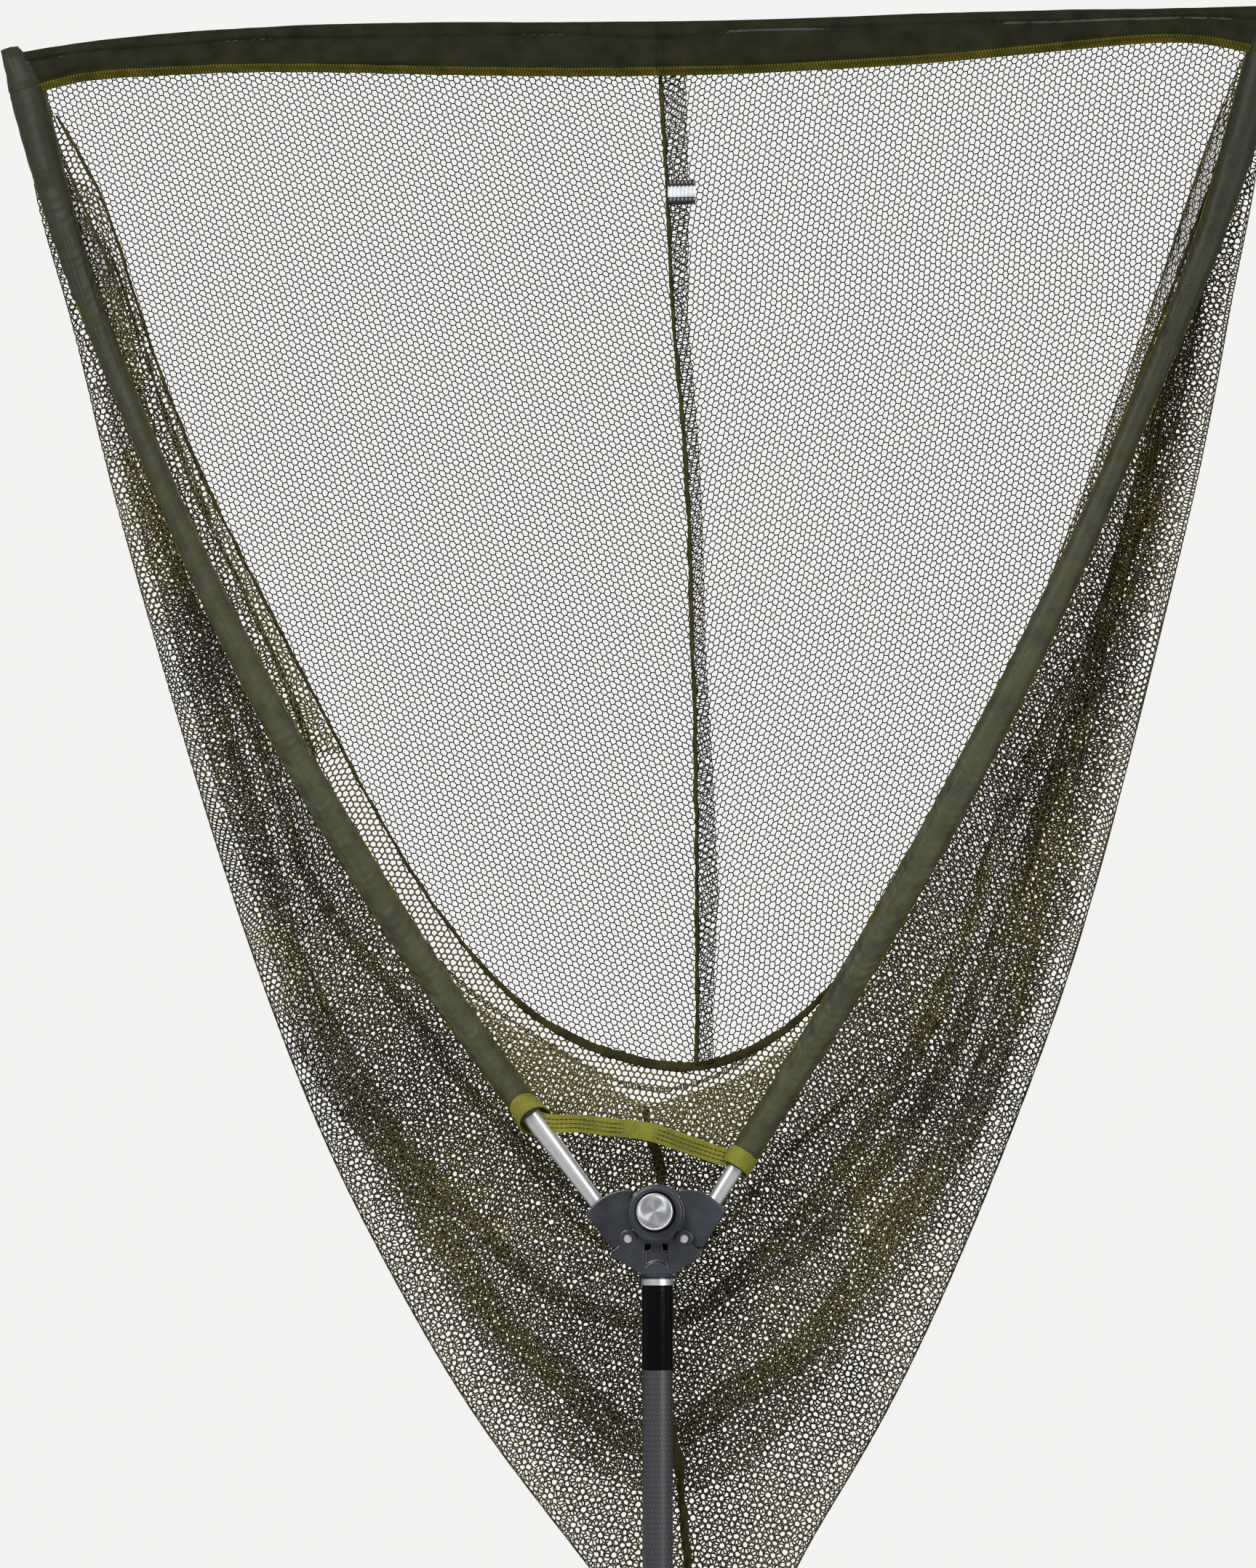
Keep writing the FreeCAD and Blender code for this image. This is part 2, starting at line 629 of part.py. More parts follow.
def build_base(side, sign):
    foot = size("panel_foot")
    seam = size("seam_half")
    edge = base_edge(sign, 8)
    low_end, high_end = (size(end) + sign * (seam + 1) for end in ("seam_foot_shift", "seam_top_shift"))
    outline = edge + [(low_end, foot + 8), (high_end, size("panel_top"))]
    made(side + "_base_panel", panel_frame(prism(outline, 0, size("mesh"))))
    rim = base_edge(sign, 3) + [(low_end, foot + 3), (low_end, foot + 6.5)]
    rim += list(reversed(base_edge(sign, 6.5)))
    made(side + "_base_seam", panel_frame(prism(rim, 0, size("mesh"))))


def arm_line(arm, offset, top):
    """Points along the inner side of an arm, from the strap up to a height."""
    points = []
    for distance in spaced(110, arm.total() - 10, 9):
        point, along = arm.station(distance)
        height = point.z - size("bolt_height")
        points.append((point.x - arm.sign * offset, min(height, top)))
    return points


def build_pouch(arms):
    front, back, wall = size("pouch_front"), size("pouch_back"), size("pouch_wall")
    foot, top = size("panel_foot"), 930
    left = [(-x, z) for x, z in SILHOUETTE["left"]]
    right = [(x, z) for x, z in reversed(SILHOUETTE["right"][:-1])]
    outline = left + right
    inner = [(x * 0.988, z + (wall if z < 0 else 0)) for x, z in outline]

    def side_view(inset):
        low = -372 + inset
        lean = [(front + inset, low), (back - inset, low), (back - inset, foot), (front + 34 - inset, top + 20),
                (front + inset, top + 20)]
        corners = [V(-700, y, z + size("bolt_height")) for y, z in lean]
        return Part.Face(Part.makePolygon(corners + corners[:1])).extrude(V(1400, 0, 0))

    shell = prism(outline, front, back).common(side_view(0))
    shell = shell.cut(prism(inner[:1] + [(inner[0][0], top + 30), (inner[-1][0], top + 30)]
                            + list(reversed(inner[1:])), front - 1, back + 1).common(side_view(wall)))
    mouth = arm_line(arms["left"], 0, top + 40)
    mouth = list(reversed(mouth)) + arm_line(arms["right"], 0, top + 40)
    mouth = [(mouth[0][0], top + 60)] + mouth + [(mouth[-1][0], top + 60)]
    shell = shell.cut(prism(mouth, front - 5, front + wall + 1))
    opening = base_edge(-1, 0) + list(reversed(base_edge(1, 0)))
    shell = shell.cut(prism(opening, front + wall + 1, back + 5))
    gap = size("seam_half") + 1
    for side, sign in SIDES.items():
        half = Part.makeBox(700, 400, 1600, V(gap if sign > 0 else -gap - 700, -100, size("bolt_height") - 500))
        made(side + "_pouch", shell.common(half))


def build_seam():
    half, foot = size("seam_half"), size("panel_foot")
    low, high = size("seam_foot_shift"), size("seam_top_shift")
    strip = [(low - half, foot + 2), (low + half, foot + 2), (high + half, size("panel_top")),
             (high - half, size("panel_top"))]
    made("centre_seam", panel_frame(prism(strip, -1, size("mesh") + 1)))
    front, back, wall = size("pouch_front"), size("pouch_back"), size("pouch_wall")
    low = -364
    ring = prism([(-half, low), (half, low), (half, 60), (-half, 60)], front, back)
    ring = ring.cut(prism([(-9, low + wall), (9, low + wall), (9, 90), (-9, 90)], front + wall, back - wall))
    rear = prism([(-half, 60), (half, 60), (half, foot - 8), (-half, foot - 8)], back - wall, back)
    made("pouch_seam", ring.fuse(rear).removeSplitter())
    width, height, depth = size("clip_width"), size("clip_height"), size("clip_depth")
    clearance = 2.8
    depth_here = size("panel_top_depth") + 8
    low_corner = V(size("clip_left"), depth_here - depth - clearance, size("bolt_height") + size("clip_level"))
    made("seam_clip", Part.makeBox(width, depth, height, low_corner))


def check_document():
    """Every object must have computed, and every sub-part must be a valid closed solid."""
    failed = [o.Name for o in doc.Objects if "Invalid" in o.State or "Error" in o.State]
    if failed:
        raise RuntimeError("failed objects: " + ", ".join(failed))
    for item in nodes:
        shape = item.Shape
        if shape.isNull() or not shape.isValid() or not shape.Solids or shape.Volume <= 0:
            raise RuntimeError("bad shape: " + item.Label)


build_handle()
build_core()
build_fasteners()
build_button()
build_spring()
arms = {}
for side, sign in SIDES.items():
    build_wing(side, sign)
    build_ferrule(side, sign)
    arms[side] = Arm(side, sign)
    build_rod(arms[side])
    build_sleeve(arms[side])
    build_corner(arms[side])
    build_base(side, sign)
build_mouth()
build_cross_strap()
build_pouch(arms)
build_seam()
doc.recompute()
check_document()

os.makedirs("parts", exist_ok=True)
for item in nodes:
    item.Shape.exportStep(os.path.join("parts", item.Label + ".step"))
print(len(nodes), "sub-parts written")
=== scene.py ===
"""Looks of the folding landing net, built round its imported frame.

Metres, in the frame's own axes: +Z up the handle, +X to the right arm, -Y to the side that is looked at.
The net's lines are written as (x, height above the pivot bolts).
"""

import json
import math

import bpy
import numpy as np
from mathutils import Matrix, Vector


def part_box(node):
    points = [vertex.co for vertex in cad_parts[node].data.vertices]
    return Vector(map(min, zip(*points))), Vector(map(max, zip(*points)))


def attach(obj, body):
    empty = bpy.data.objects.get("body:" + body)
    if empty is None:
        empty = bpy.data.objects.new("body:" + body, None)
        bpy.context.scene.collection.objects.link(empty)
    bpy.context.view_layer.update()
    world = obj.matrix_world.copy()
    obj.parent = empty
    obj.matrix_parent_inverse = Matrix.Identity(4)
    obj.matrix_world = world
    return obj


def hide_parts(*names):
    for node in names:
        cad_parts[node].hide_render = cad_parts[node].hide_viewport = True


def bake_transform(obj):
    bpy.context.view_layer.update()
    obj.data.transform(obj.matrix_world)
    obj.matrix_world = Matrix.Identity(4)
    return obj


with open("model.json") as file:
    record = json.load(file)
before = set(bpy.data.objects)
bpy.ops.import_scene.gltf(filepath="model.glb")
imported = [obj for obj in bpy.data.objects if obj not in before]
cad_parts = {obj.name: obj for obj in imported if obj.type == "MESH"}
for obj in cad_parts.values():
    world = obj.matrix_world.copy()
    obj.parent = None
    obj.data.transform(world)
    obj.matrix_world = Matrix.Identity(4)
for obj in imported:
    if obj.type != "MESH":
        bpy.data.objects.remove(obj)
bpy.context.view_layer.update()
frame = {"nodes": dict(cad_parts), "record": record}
chance = np.random.default_rng(7)

SIDES = {"left": -1, "right": 1}
MM = 0.001
TOWARDS_VIEWER = np.array([0.0, -1.0, 0.0])


def middle(node):
    low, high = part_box(node)
    return (low + high) / 2


BOLT = {side: middle(side + "_pivot_bolt") for side in SIDES}
BOLT_Z = BOLT["left"].z


# ---------------------------------------------------------------- lines

class Line:
    """A smooth line through a few points, followed by length from its first point."""

    CLOSE = 700         # close points along it, for looking places up
    AT_ONCE = 4000      # points compared with them at one time

    def __init__(self, points):
        self.points = np.array(points, float)
        steps = np.linalg.norm(np.diff(self.points, axis=0), axis=1)
        self.marks = np.concatenate([[0.0], np.cumsum(steps)])
        self.length = self.marks[-1]
        self.bend = self._second_derivatives(steps)
        self.dense = self.at(np.linspace(0, self.length, self.CLOSE))

    def _second_derivatives(self, steps):
        count = len(self.points)
        system, right = np.eye(count), np.zeros_like(self.points)
        for i in range(1, count - 1):
            before, after = steps[i - 1], steps[i]
            system[i, i - 1:i + 2] = before / 6, (before + after) / 3, after / 6
            rise = (self.points[i + 1] - self.points[i]) / after
            fall = (self.points[i] - self.points[i - 1]) / before
            right[i] = rise - fall
        return np.linalg.solve(system, right)

    def at(self, distance):
        """Points at distances along the line."""
        distance = np.clip(np.atleast_1d(distance), 0, self.length)
        i = np.clip(np.searchsorted(self.marks, distance) - 1, 0, len(self.marks) - 2)
        step = (self.marks[i + 1] - self.marks[i])[:, None]
        b = (distance - self.marks[i])[:, None] / step
        a = 1 - b
        return (a * self.points[i] + b * self.points[i + 1]
                + ((a**3 - a) * self.bend[i] + (b**3 - b) * self.bend[i + 1]) * step**2 / 6)

    def along(self, distance):
        """Unit directions at distances along the line."""
        reach = 1 * MM
        ahead = self.at(np.asarray(distance) + reach) - self.at(np.asarray(distance) - reach)
        return ahead / np.linalg.norm(ahead, axis=1)[:, None]

    def height(self, x):
        """Height at x, on a line that crosses each x once."""
        order = np.argsort(self.dense[:, 0])
        return np.interp(x, self.dense[order, 0], self.dense[order, 1])

    def reach(self, z):
        """The x at a height, on a line that crosses each height once."""
        order = np.argsort(self.dense[:, 1])
        return np.interp(z, self.dense[order, 1], self.dense[order, 0])

    def steepness(self, x):
        """Length of line per unit of x."""
        gap = 2 * MM
        return np.hypot(1.0, (self.height(x + gap) - self.height(x - gap)) / (2 * gap))

    def inside(self, points):
        """Distance to the left of a flat line, the nearest point on it and the direction away from it."""
        nearest = np.zeros(len(points), int)
        for start in range(0, len(points), self.AT_ONCE):
            part = slice(start, start + self.AT_ONCE)
            gap = ((points[part, None, :] - self.dense[None, ::2, :]) ** 2).sum(2)
            nearest[part] = gap.argmin(1) * 2
        after, before = np.minimum(nearest + 1, self.CLOSE - 1), np.maximum(nearest - 1, 0)
        run = self.dense[after] - self.dense[before]
        run /= np.linalg.norm(run, axis=1)[:, None]
        away = np.stack([-run[:, 1], run[:, 0]], 1)
        foot = self.dense[nearest]
        inwards = ((points - foot) * away).sum(1)
        return inwards, points - away * inwards[:, None], away


def ramp(x, low, high):
    """0 below low, 1 above high, and smooth between them."""
    t = np.clip((x - low) / (high - low), 0, 1)
    return t * t * (3 - 2 * t)


# The bag's outer fold, from the left corner round the bottom to the right corner.
SILHOUETTE = Line([
    (-0.563, 0.985), (-0.551, 0.910), (-0.527, 0.827), (-0.491, 0.686), (-0.454, 0.553), (-0.411, 0.409),
    (-0.335, 0.184), (-0.278, 0.051), (-0.221, -0.055), (-0.159, -0.154), (-0.096, -0.236), (-0.036, -0.312),
    (0.024, -0.362), (0.074, -0.338), (0.112, -0.278), (0.172, -0.177), (0.233, -0.060), (0.312, 0.125),
    (0.338, 0.194), (0.404, 0.414), (0.437, 0.541), (0.469, 0.670), (0.495, 0.799), (0.514, 0.891),
    (0.530, 0.985)])

# The inner edge of the mesh that turns in behind the arms and dips to the strap between them.
INNER_FOLD = Line([
    (-0.546, 0.996), (-0.513, 0.916), (-0.476, 0.835), (-0.449, 0.731), (-0.399, 0.590), (-0.352, 0.486),
    (-0.308, 0.402), (-0.241, 0.298), (-0.172, 0.214), (-0.122, 0.176), (-0.051, 0.138), (-0.010, 0.113),
    (0.018, 0.119), (0.062, 0.133), (0.106, 0.159), (0.142, 0.190), (0.164, 0.235), (0.225, 0.347),
    (0.299, 0.478), (0.386, 0.690), (0.440, 0.835), (0.468, 0.916), (0.500, 0.996)])

# The seam round the flat base panel, with its right half behind the right arm.
BASE_SEAM = Line([
    (-0.540, 0.996), (-0.501, 0.929), (-0.462, 0.819), (-0.405, 0.668), (-0.331, 0.520), (-0.239, 0.348),
    (-0.156, 0.232), (-0.083, 0.174), (-0.035, 0.156), (0.026, 0.148), (0.080, 0.164), (0.124, 0.195),
    (0.182, 0.264), (0.250, 0.386), (0.325, 0.520), (0.404, 0.708), (0.470, 0.880), (0.512, 0.996)])

CENTRE_SEAM = Line([(0.003, 1.013), (0.0085, 0.902), (0.012, 0.809), (0.021, 0.695), (0.026, 0.568),
                    (0.0285, 0.442), (0.029, 0.284), (0.028, 0.150)])
PANEL_TOP, PANEL_FOOT = 1.030, 0.150
MESH_TOP = 1.012
DEPTHS = [(-0.37, 0.100), (0.0, 0.108), (0.150, 0.097), (1.012, 0.011)]


def read_off(table, z):
    """The value at z in a table of (height, value)."""
    return np.interp(z, *zip(*table))


def rear_depth(z):
    """How far behind the arms the back of the bag hangs."""
    return read_off(DEPTHS, z)


def edge_depth(z):
    """How far behind the arms the outer fold lies."""
    return 0.62 * rear_depth(z) + 0.006


def edge_round(z):
    """Radius of the outer fold."""
    return 0.004 + 0.011 * np.clip((0.95 - z) / 0.9, 0, 1)


# ---------------------------------------------------------------- arms

# The arms' bow, as the frame has it: angles from upright where it starts and at the tip, in degrees.
ARM_ANGLES = {"left": (37.1, 14), "right": (32.5, 15)}
SOCKET_OFFSET, FERRULE_END = 0.004, 0.150


def arm_line(side, sign):
    """The arm's centre line from its bolt to the tip, as (x, height)."""
    base, end = (math.radians(a) for a in ARM_ANGLES[side])
    out = np.array([sign * math.sin(base), math.cos(base)])
    across = np.array([sign * math.cos(base), -math.sin(base)])
    root = np.array([BOLT[side].x, 0.0]) + across * SOCKET_OFFSET
    start = root + out * FERRULE_END
    cap_low, cap_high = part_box(side + "_tip_cap")
    cap_radius = (cap_high.y - cap_low.y) / 2
    tip_out = np.array([sign * math.sin(end), math.cos(end)])
    far = cap_low.x if sign < 0 else cap_high.x
    tip = np.array([far - sign * cap_radius, cap_high.z - BOLT_Z - cap_radius * 0.3])
    gap = tip - start
    cross = out[0] * tip_out[1] - out[1] * tip_out[0]
    pole = start + out * (gap[0] * tip_out[1] - gap[1] * tip_out[0]) / cross
    t = np.linspace(0, 1, 9)[:, None]
    bow = (1 - t) ** 2 * start + 2 * t * (1 - t) * pole + t**2 * tip
    return Line([root, root + out * FERRULE_END / 2, *bow])


ARM = {side: arm_line(side, sign) for side, sign in SIDES.items()}


# ---------------------------------------------------------------- pieces

def added(name, data):
    """A new object in the scene."""
    item = bpy.data.objects.new(name, data)
    bpy.context.scene.collection.objects.link(item)
    return item


def mesh_piece(name, points, faces, material, marks=None):
    """A mesh object from arrays. marks are named numbers, one for each point, that materials can read."""
    mesh = bpy.data.meshes.new(name)
    faces = np.asarray(faces, np.int32)
    mesh.vertices.add(len(points))
    mesh.vertices.foreach_set("co", np.asarray(points, np.float32).ravel())
    mesh.loops.add(faces.size)
    mesh.loops.foreach_set("vertex_index", faces.ravel())
    mesh.polygons.add(len(faces))
    mesh.polygons.foreach_set("loop_start", np.arange(0, faces.size, faces.shape[1], dtype=np.int32))
    mesh.polygons.foreach_set("use_smooth", np.ones(len(faces), bool))
    mesh.update(calc_edges=True)
    mesh.validate()
    for mark, values in (marks or {}).items():
        layer = mesh.attributes.new(mark, "FLOAT", "POINT")
        layer.data.foreach_set("value", np.asarray(values, np.float32))
    mesh.materials.append(material)
    return added(name, mesh)


def world_points(flat, depth):
    """(x, height) and depth to points in the frame."""
    return np.stack([flat[:, 0], np.broadcast_to(depth, len(flat)), flat[:, 1] + BOLT_Z], 1)


def follow_arm(piece):
    """Bakes the piece's placing into its mesh and reads its points."""
    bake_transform(piece)
    points = np.zeros(len(piece.data.vertices) * 3, np.float32)
    piece.data.vertices.foreach_get("co", points)
    return piece


def grid_faces(rows, columns, round_rows=False, round_columns=False):
    """Quads over a grid of points that is laid out row by row."""
    r = np.arange(rows if round_rows else rows - 1)
    c = np.arange(columns if round_columns else columns - 1)
    r, c = (a.ravel() for a in np.meshgrid(r, c, indexing="ij"))
    r2, c2 = (r + 1) % rows, (c + 1) % columns
    return np.stack([r * columns + c, r * columns + c2, r2 * columns + c2, r2 * columns + c], 1)


# ---------------------------------------------------------------- materials

def srgb(red, green, blue):
    """Linear colour from 0-255 display values."""
    values = [v / 255 for v in (red, green, blue)]
    return [v / 12.92 if v < 0.04045 else ((v + 0.055) / 1.055) ** 2.4 for v in values] + [1.0]


class Look:
    """A procedural material, built from a few nodes over one principled shader."""

    def __init__(self, name, colour, rough, shine=0.5, **inputs):
        self.material = bpy.data.materials.new(name)
        self.material.use_nodes = True
        self.tree = self.material.node_tree
        self.shader = self.tree.nodes["Principled BSDF"]
        self.set(self.shader, Roughness=rough, **inputs,
                 **{"Base Color": srgb(*colour), "Specular IOR Level": shine})
        self.place = self.add("ShaderNodeTexCoord").outputs["Object"]

    def set(self, node, **inputs):
        """Values or links for a node's inputs, by name, or by number after an underscore."""
        for name, value in inputs.items():
            socket = node.inputs[int(name[1:])] if name[:1] == "_" else node.inputs[name]
            if isinstance(value, bpy.types.NodeSocket):
                self.tree.links.new(value, socket)
            else:
                socket.default_value = value

    def add(self, kind, settings=None, **inputs):
        node = self.tree.nodes.new(kind)
        for name, value in (settings or {}).items():
            setattr(node, name, value)
        self.set(node, **inputs)
        return node

    def turned(self, turn):
        """The object's own place, turned about Y."""
        return self.add("ShaderNodeMapping", Vector=self.place, Rotation=(0, turn, 0)).outputs[0]

    def noise(self, scale, detail=3.0, place=None, spread=0.55):
        return self.add("ShaderNodeTexNoise", Vector=place or self.place, Scale=scale, Detail=detail,
                        Roughness=spread).outputs["Fac"]

    def wave(self, scale, place=None, shift=0.0, bands="X"):
        return self.add("ShaderNodeTexWave", {"bands_direction": bands}, Vector=place or self.place,
                        Scale=scale, Distortion=shift, Detail=1.0).outputs["Fac"]

    def maths(self, how, a, b=0.5):
        return self.add("ShaderNodeMath", {"operation": how}, _0=a, _1=b).outputs[0]

    def fit(self, value, low, high, from_low=0.0, from_high=1.0):
        return self.add("ShaderNodeMapRange", Value=value, **{
            "From Min": from_low, "From Max": from_high, "To Min": low, "To Max": high}).outputs[0]

    def between(self, value, first, second):
        """A colour that runs from first to second as value does from 0 to 1."""
        mix = self.add("ShaderNodeMix", {"data_type": "RGBA"}, _0=value)
        mix.inputs[6].default_value, mix.inputs[7].default_value = srgb(*first), srgb(*second)
        return mix.outputs[2]

    def colour(self, value, first, second):
        self.set(self.shader, **{"Base Color": self.between(value, first, second)})
        return self

    def rough(self, value, low, high):
        self.set(self.shader, Roughness=self.fit(value, low, high))
        return self

    def bump(self, value, depth, strength=1.0):
        """Relief of a depth in metres."""
        node = self.add("ShaderNodeBump", Height=value, Distance=depth, Strength=strength)
        if self.shader.inputs["Normal"].links:
            self.set(node, Normal=self.shader.inputs["Normal"].links[0].from_socket)
        self.set(self.shader, Normal=node.outputs[0])
        return self


def moulded(name, dark, light, rough, grain=900, shine=0.5):
    look = Look(name, light, rough, shine)
    # On the navy-grey moulding the light patches are partly painted highlight: their wide spread stands in
    # for the block's lit and shaded faces. On the other moulded finishes they are random tone.
    patches = look.fit(look.noise(28, 4), 0, 1, 0.34, 0.66)
    look.colour(patches, dark, light).rough(look.noise(grain), rough - 0.07, rough + 0.07)
    return look.bump(look.noise(grain, 2), 0.00005).bump(look.noise(60, 2), 0.0002, 0.5)


def metal(name, dark, light, rough):
    look = Look(name, light, rough, Metallic=0.82)
    brushed = look.noise(420, 3)
    look.colour(look.noise(40, 3), dark, light).rough(brushed, rough - 0.04, rough + 0.06)
    return look.bump(brushed, 0.000006, 0.5)


def woven(name, dark, light, pitch, rough=0.75, lean=0.6, shine=0.5):
    """Close cloth: two crossed sets of fine ribs over slow patches of light and dark."""
    look = Look(name, light, rough, shine)
    ribs = math.pi / 10 / pitch
    warp = look.wave(ribs, look.turned(lean), 0.6)
    weft = look.wave(ribs, look.turned(lean + math.pi / 2), 0.6)
    weave = look.maths("MULTIPLY", warp, weft)
    patches = look.noise(55, 5)
    tone = look.maths("ADD", look.maths("MULTIPLY", weave, 0.7), patches)
    look.colour(look.fit(tone, 0, 1, 0.35, 1.15), dark, light)
    look.rough(patches, rough - 0.1, rough + 0.08)
    return look.bump(weave, pitch * 0.35).bump(look.noise(420, 3), 0.00025, 0.5)


def thread_look(name, dark, light, low, high):
    """Netting thread: random patches from near black, painted shade, to the thread's olive, painted lit
    thread; low and high bound the patches.
    Where the piece's painted highlight mark is 1 the thread is painted pale, a painted highlight."""
    pale, rough = (90, 83, 40), 0.55
    look = Look(name, dark, rough, 0.25)
    patches = look.maths("ADD", look.maths("MULTIPLY", look.noise(7, 4), 0.5),
                         look.maths("MULTIPLY", look.noise(130, 3), 0.5))
    # Painted light: the patches mix painted shade, near black, with the olive of a lit thread.
    painted_light_patches = look.between(look.fit(patches, 0, 1, low, high), dark, light)
    painted_highlight = look.add("ShaderNodeAttribute", {"attribute_name": "painted_highlight"}).outputs["Fac"]
    # Painted highlight: threads under the mark turn pale olive as if lit.
    mix = look.add("ShaderNodeMix", {"data_type": "RGBA"}, _0=painted_highlight, _6=painted_light_patches, _7=srgb(*pale))
    look.set(look.shader, **{"Base Color": mix.outputs[2]})
    look.rough(look.noise(600, 2), rough - 0.12, rough + 0.12)
    return look.bump(look.noise(2600, 2), 0.0001)


def sleeve_darker_upwards():
    """Satin olive cloth, darker up the arms."""
    look = woven("sleeve_cloth", (42, 43, 28), (84, 85, 60), 0.0011, 0.38, 0.5, 0.26)
    high = look.fit(look.add("ShaderNodeSeparateXYZ", Vector=look.place).outputs[2], 0, 0.85,
                    BOLT_Z + 0.40, BOLT_Z + 0.95)
    cloth = look.shader.inputs["Base Color"].links[0].from_socket
    mix = look.add("ShaderNodeMix", {"data_type": "RGBA"}, _0=high, _6=cloth, _7=srgb(32, 33, 18))
    look.set(look.shader, **{"Base Color": mix.outputs[2]})
    return look


LOOKS = {
    # The block's navy grey: random tone spread wide between dark and light patches, as painted highlight and
    # shade.
    "moulding": moulded("moulded_navy_grey", (13, 15, 20), (49, 52, 60), 0.34, 900, 0.7),
    "gloss_black": moulded("gloss_black", (1, 1, 1), (4, 4, 4), 0.12, 300, 0.16),
    "steel": metal("steel", (198, 198, 196), (226, 226, 224), 0.34),
    "spring_steel": metal("spring_steel", (118, 112, 104), (170, 166, 160), 0.34),
    "grip_foam": moulded("grip_foam", (22, 22, 23), (40, 40, 41), 0.86, 500),
    "rod": moulded("black_rod", (16, 16, 17), (34, 34, 35), 0.3, 200),
    "sleeve_cloth": sleeve_darker_upwards(),
    "hem_cloth": woven("hem_cloth", (15, 15, 7), (46, 46, 28), 0.0009, 0.7, 0.3, 0.08),
    "webbing": woven("webbing", (86, 85, 14), (148, 146, 40), 0.0016, 0.8, 0.1),
    "overlock": woven("overlock", (52, 48, 8), (110, 104, 34), 0.0005, 0.8, shine=0.1),
    "seam_thread": woven("seam_thread", (18, 18, 8), (78, 73, 32), 0.0006, 0.8, shine=0.15),
    "panel_net": thread_look("panel_netting", (24, 24, 20), (46, 45, 34), 0.4, 0.7),
    "pouch_net": thread_look("pouch_netting", (24, 21, 8), (90, 80, 26), 0.40, 0.70),
    "back_net": thread_look("back_netting", (40, 37, 20), (82, 75, 40), 0.40, 0.70),
    "cord": woven("cord", (30, 30, 26), (80, 80, 70), 0.001),
    "clear_plastic": moulded("clear_plastic", (170, 174, 178), (215, 218, 220), 0.2),
    "black_plastic": moulded("black_plastic", (18, 18, 19), (36, 36, 38), 0.35),
}


def carbon_look():
    """Twill carbon under a satin coat: short diagonal steps of lighter and darker tows."""
    look = Look("carbon_twill", (96, 97, 99), 0.38, **{"Coat Weight": 0.5, "Coat Roughness": 0.3})
    tow = math.pi / 10 / 0.0021
    up = look.wave(tow, look.turned(0.78))
    level = look.wave(tow * 0.5, bands="Z")
    weave = look.maths("MULTIPLY", look.maths("GREATER_THAN", up), look.fit(level, 0.4, 1))
    look.colour(look.maths("MULTIPLY", weave, look.fit(look.noise(90, 3), 0.75, 1.1)),
                (26, 27, 28), (72, 73, 75))
    return look.rough(weave, 0.46, 0.32).bump(weave, 0.00006)


LOOKS["carbon"] = carbon_look()
FINISH = {name: look.material for name, look in LOOKS.items()}


# ---------------------------------------------------------------- netting

def hexagons(pitch, turn):
    """The two steps of an even net, turned by degrees."""
    angles = [math.radians(a) for a in (turn, turn + 60)]
    return [pitch * np.array([math.cos(a), math.sin(a)]) for a in angles]


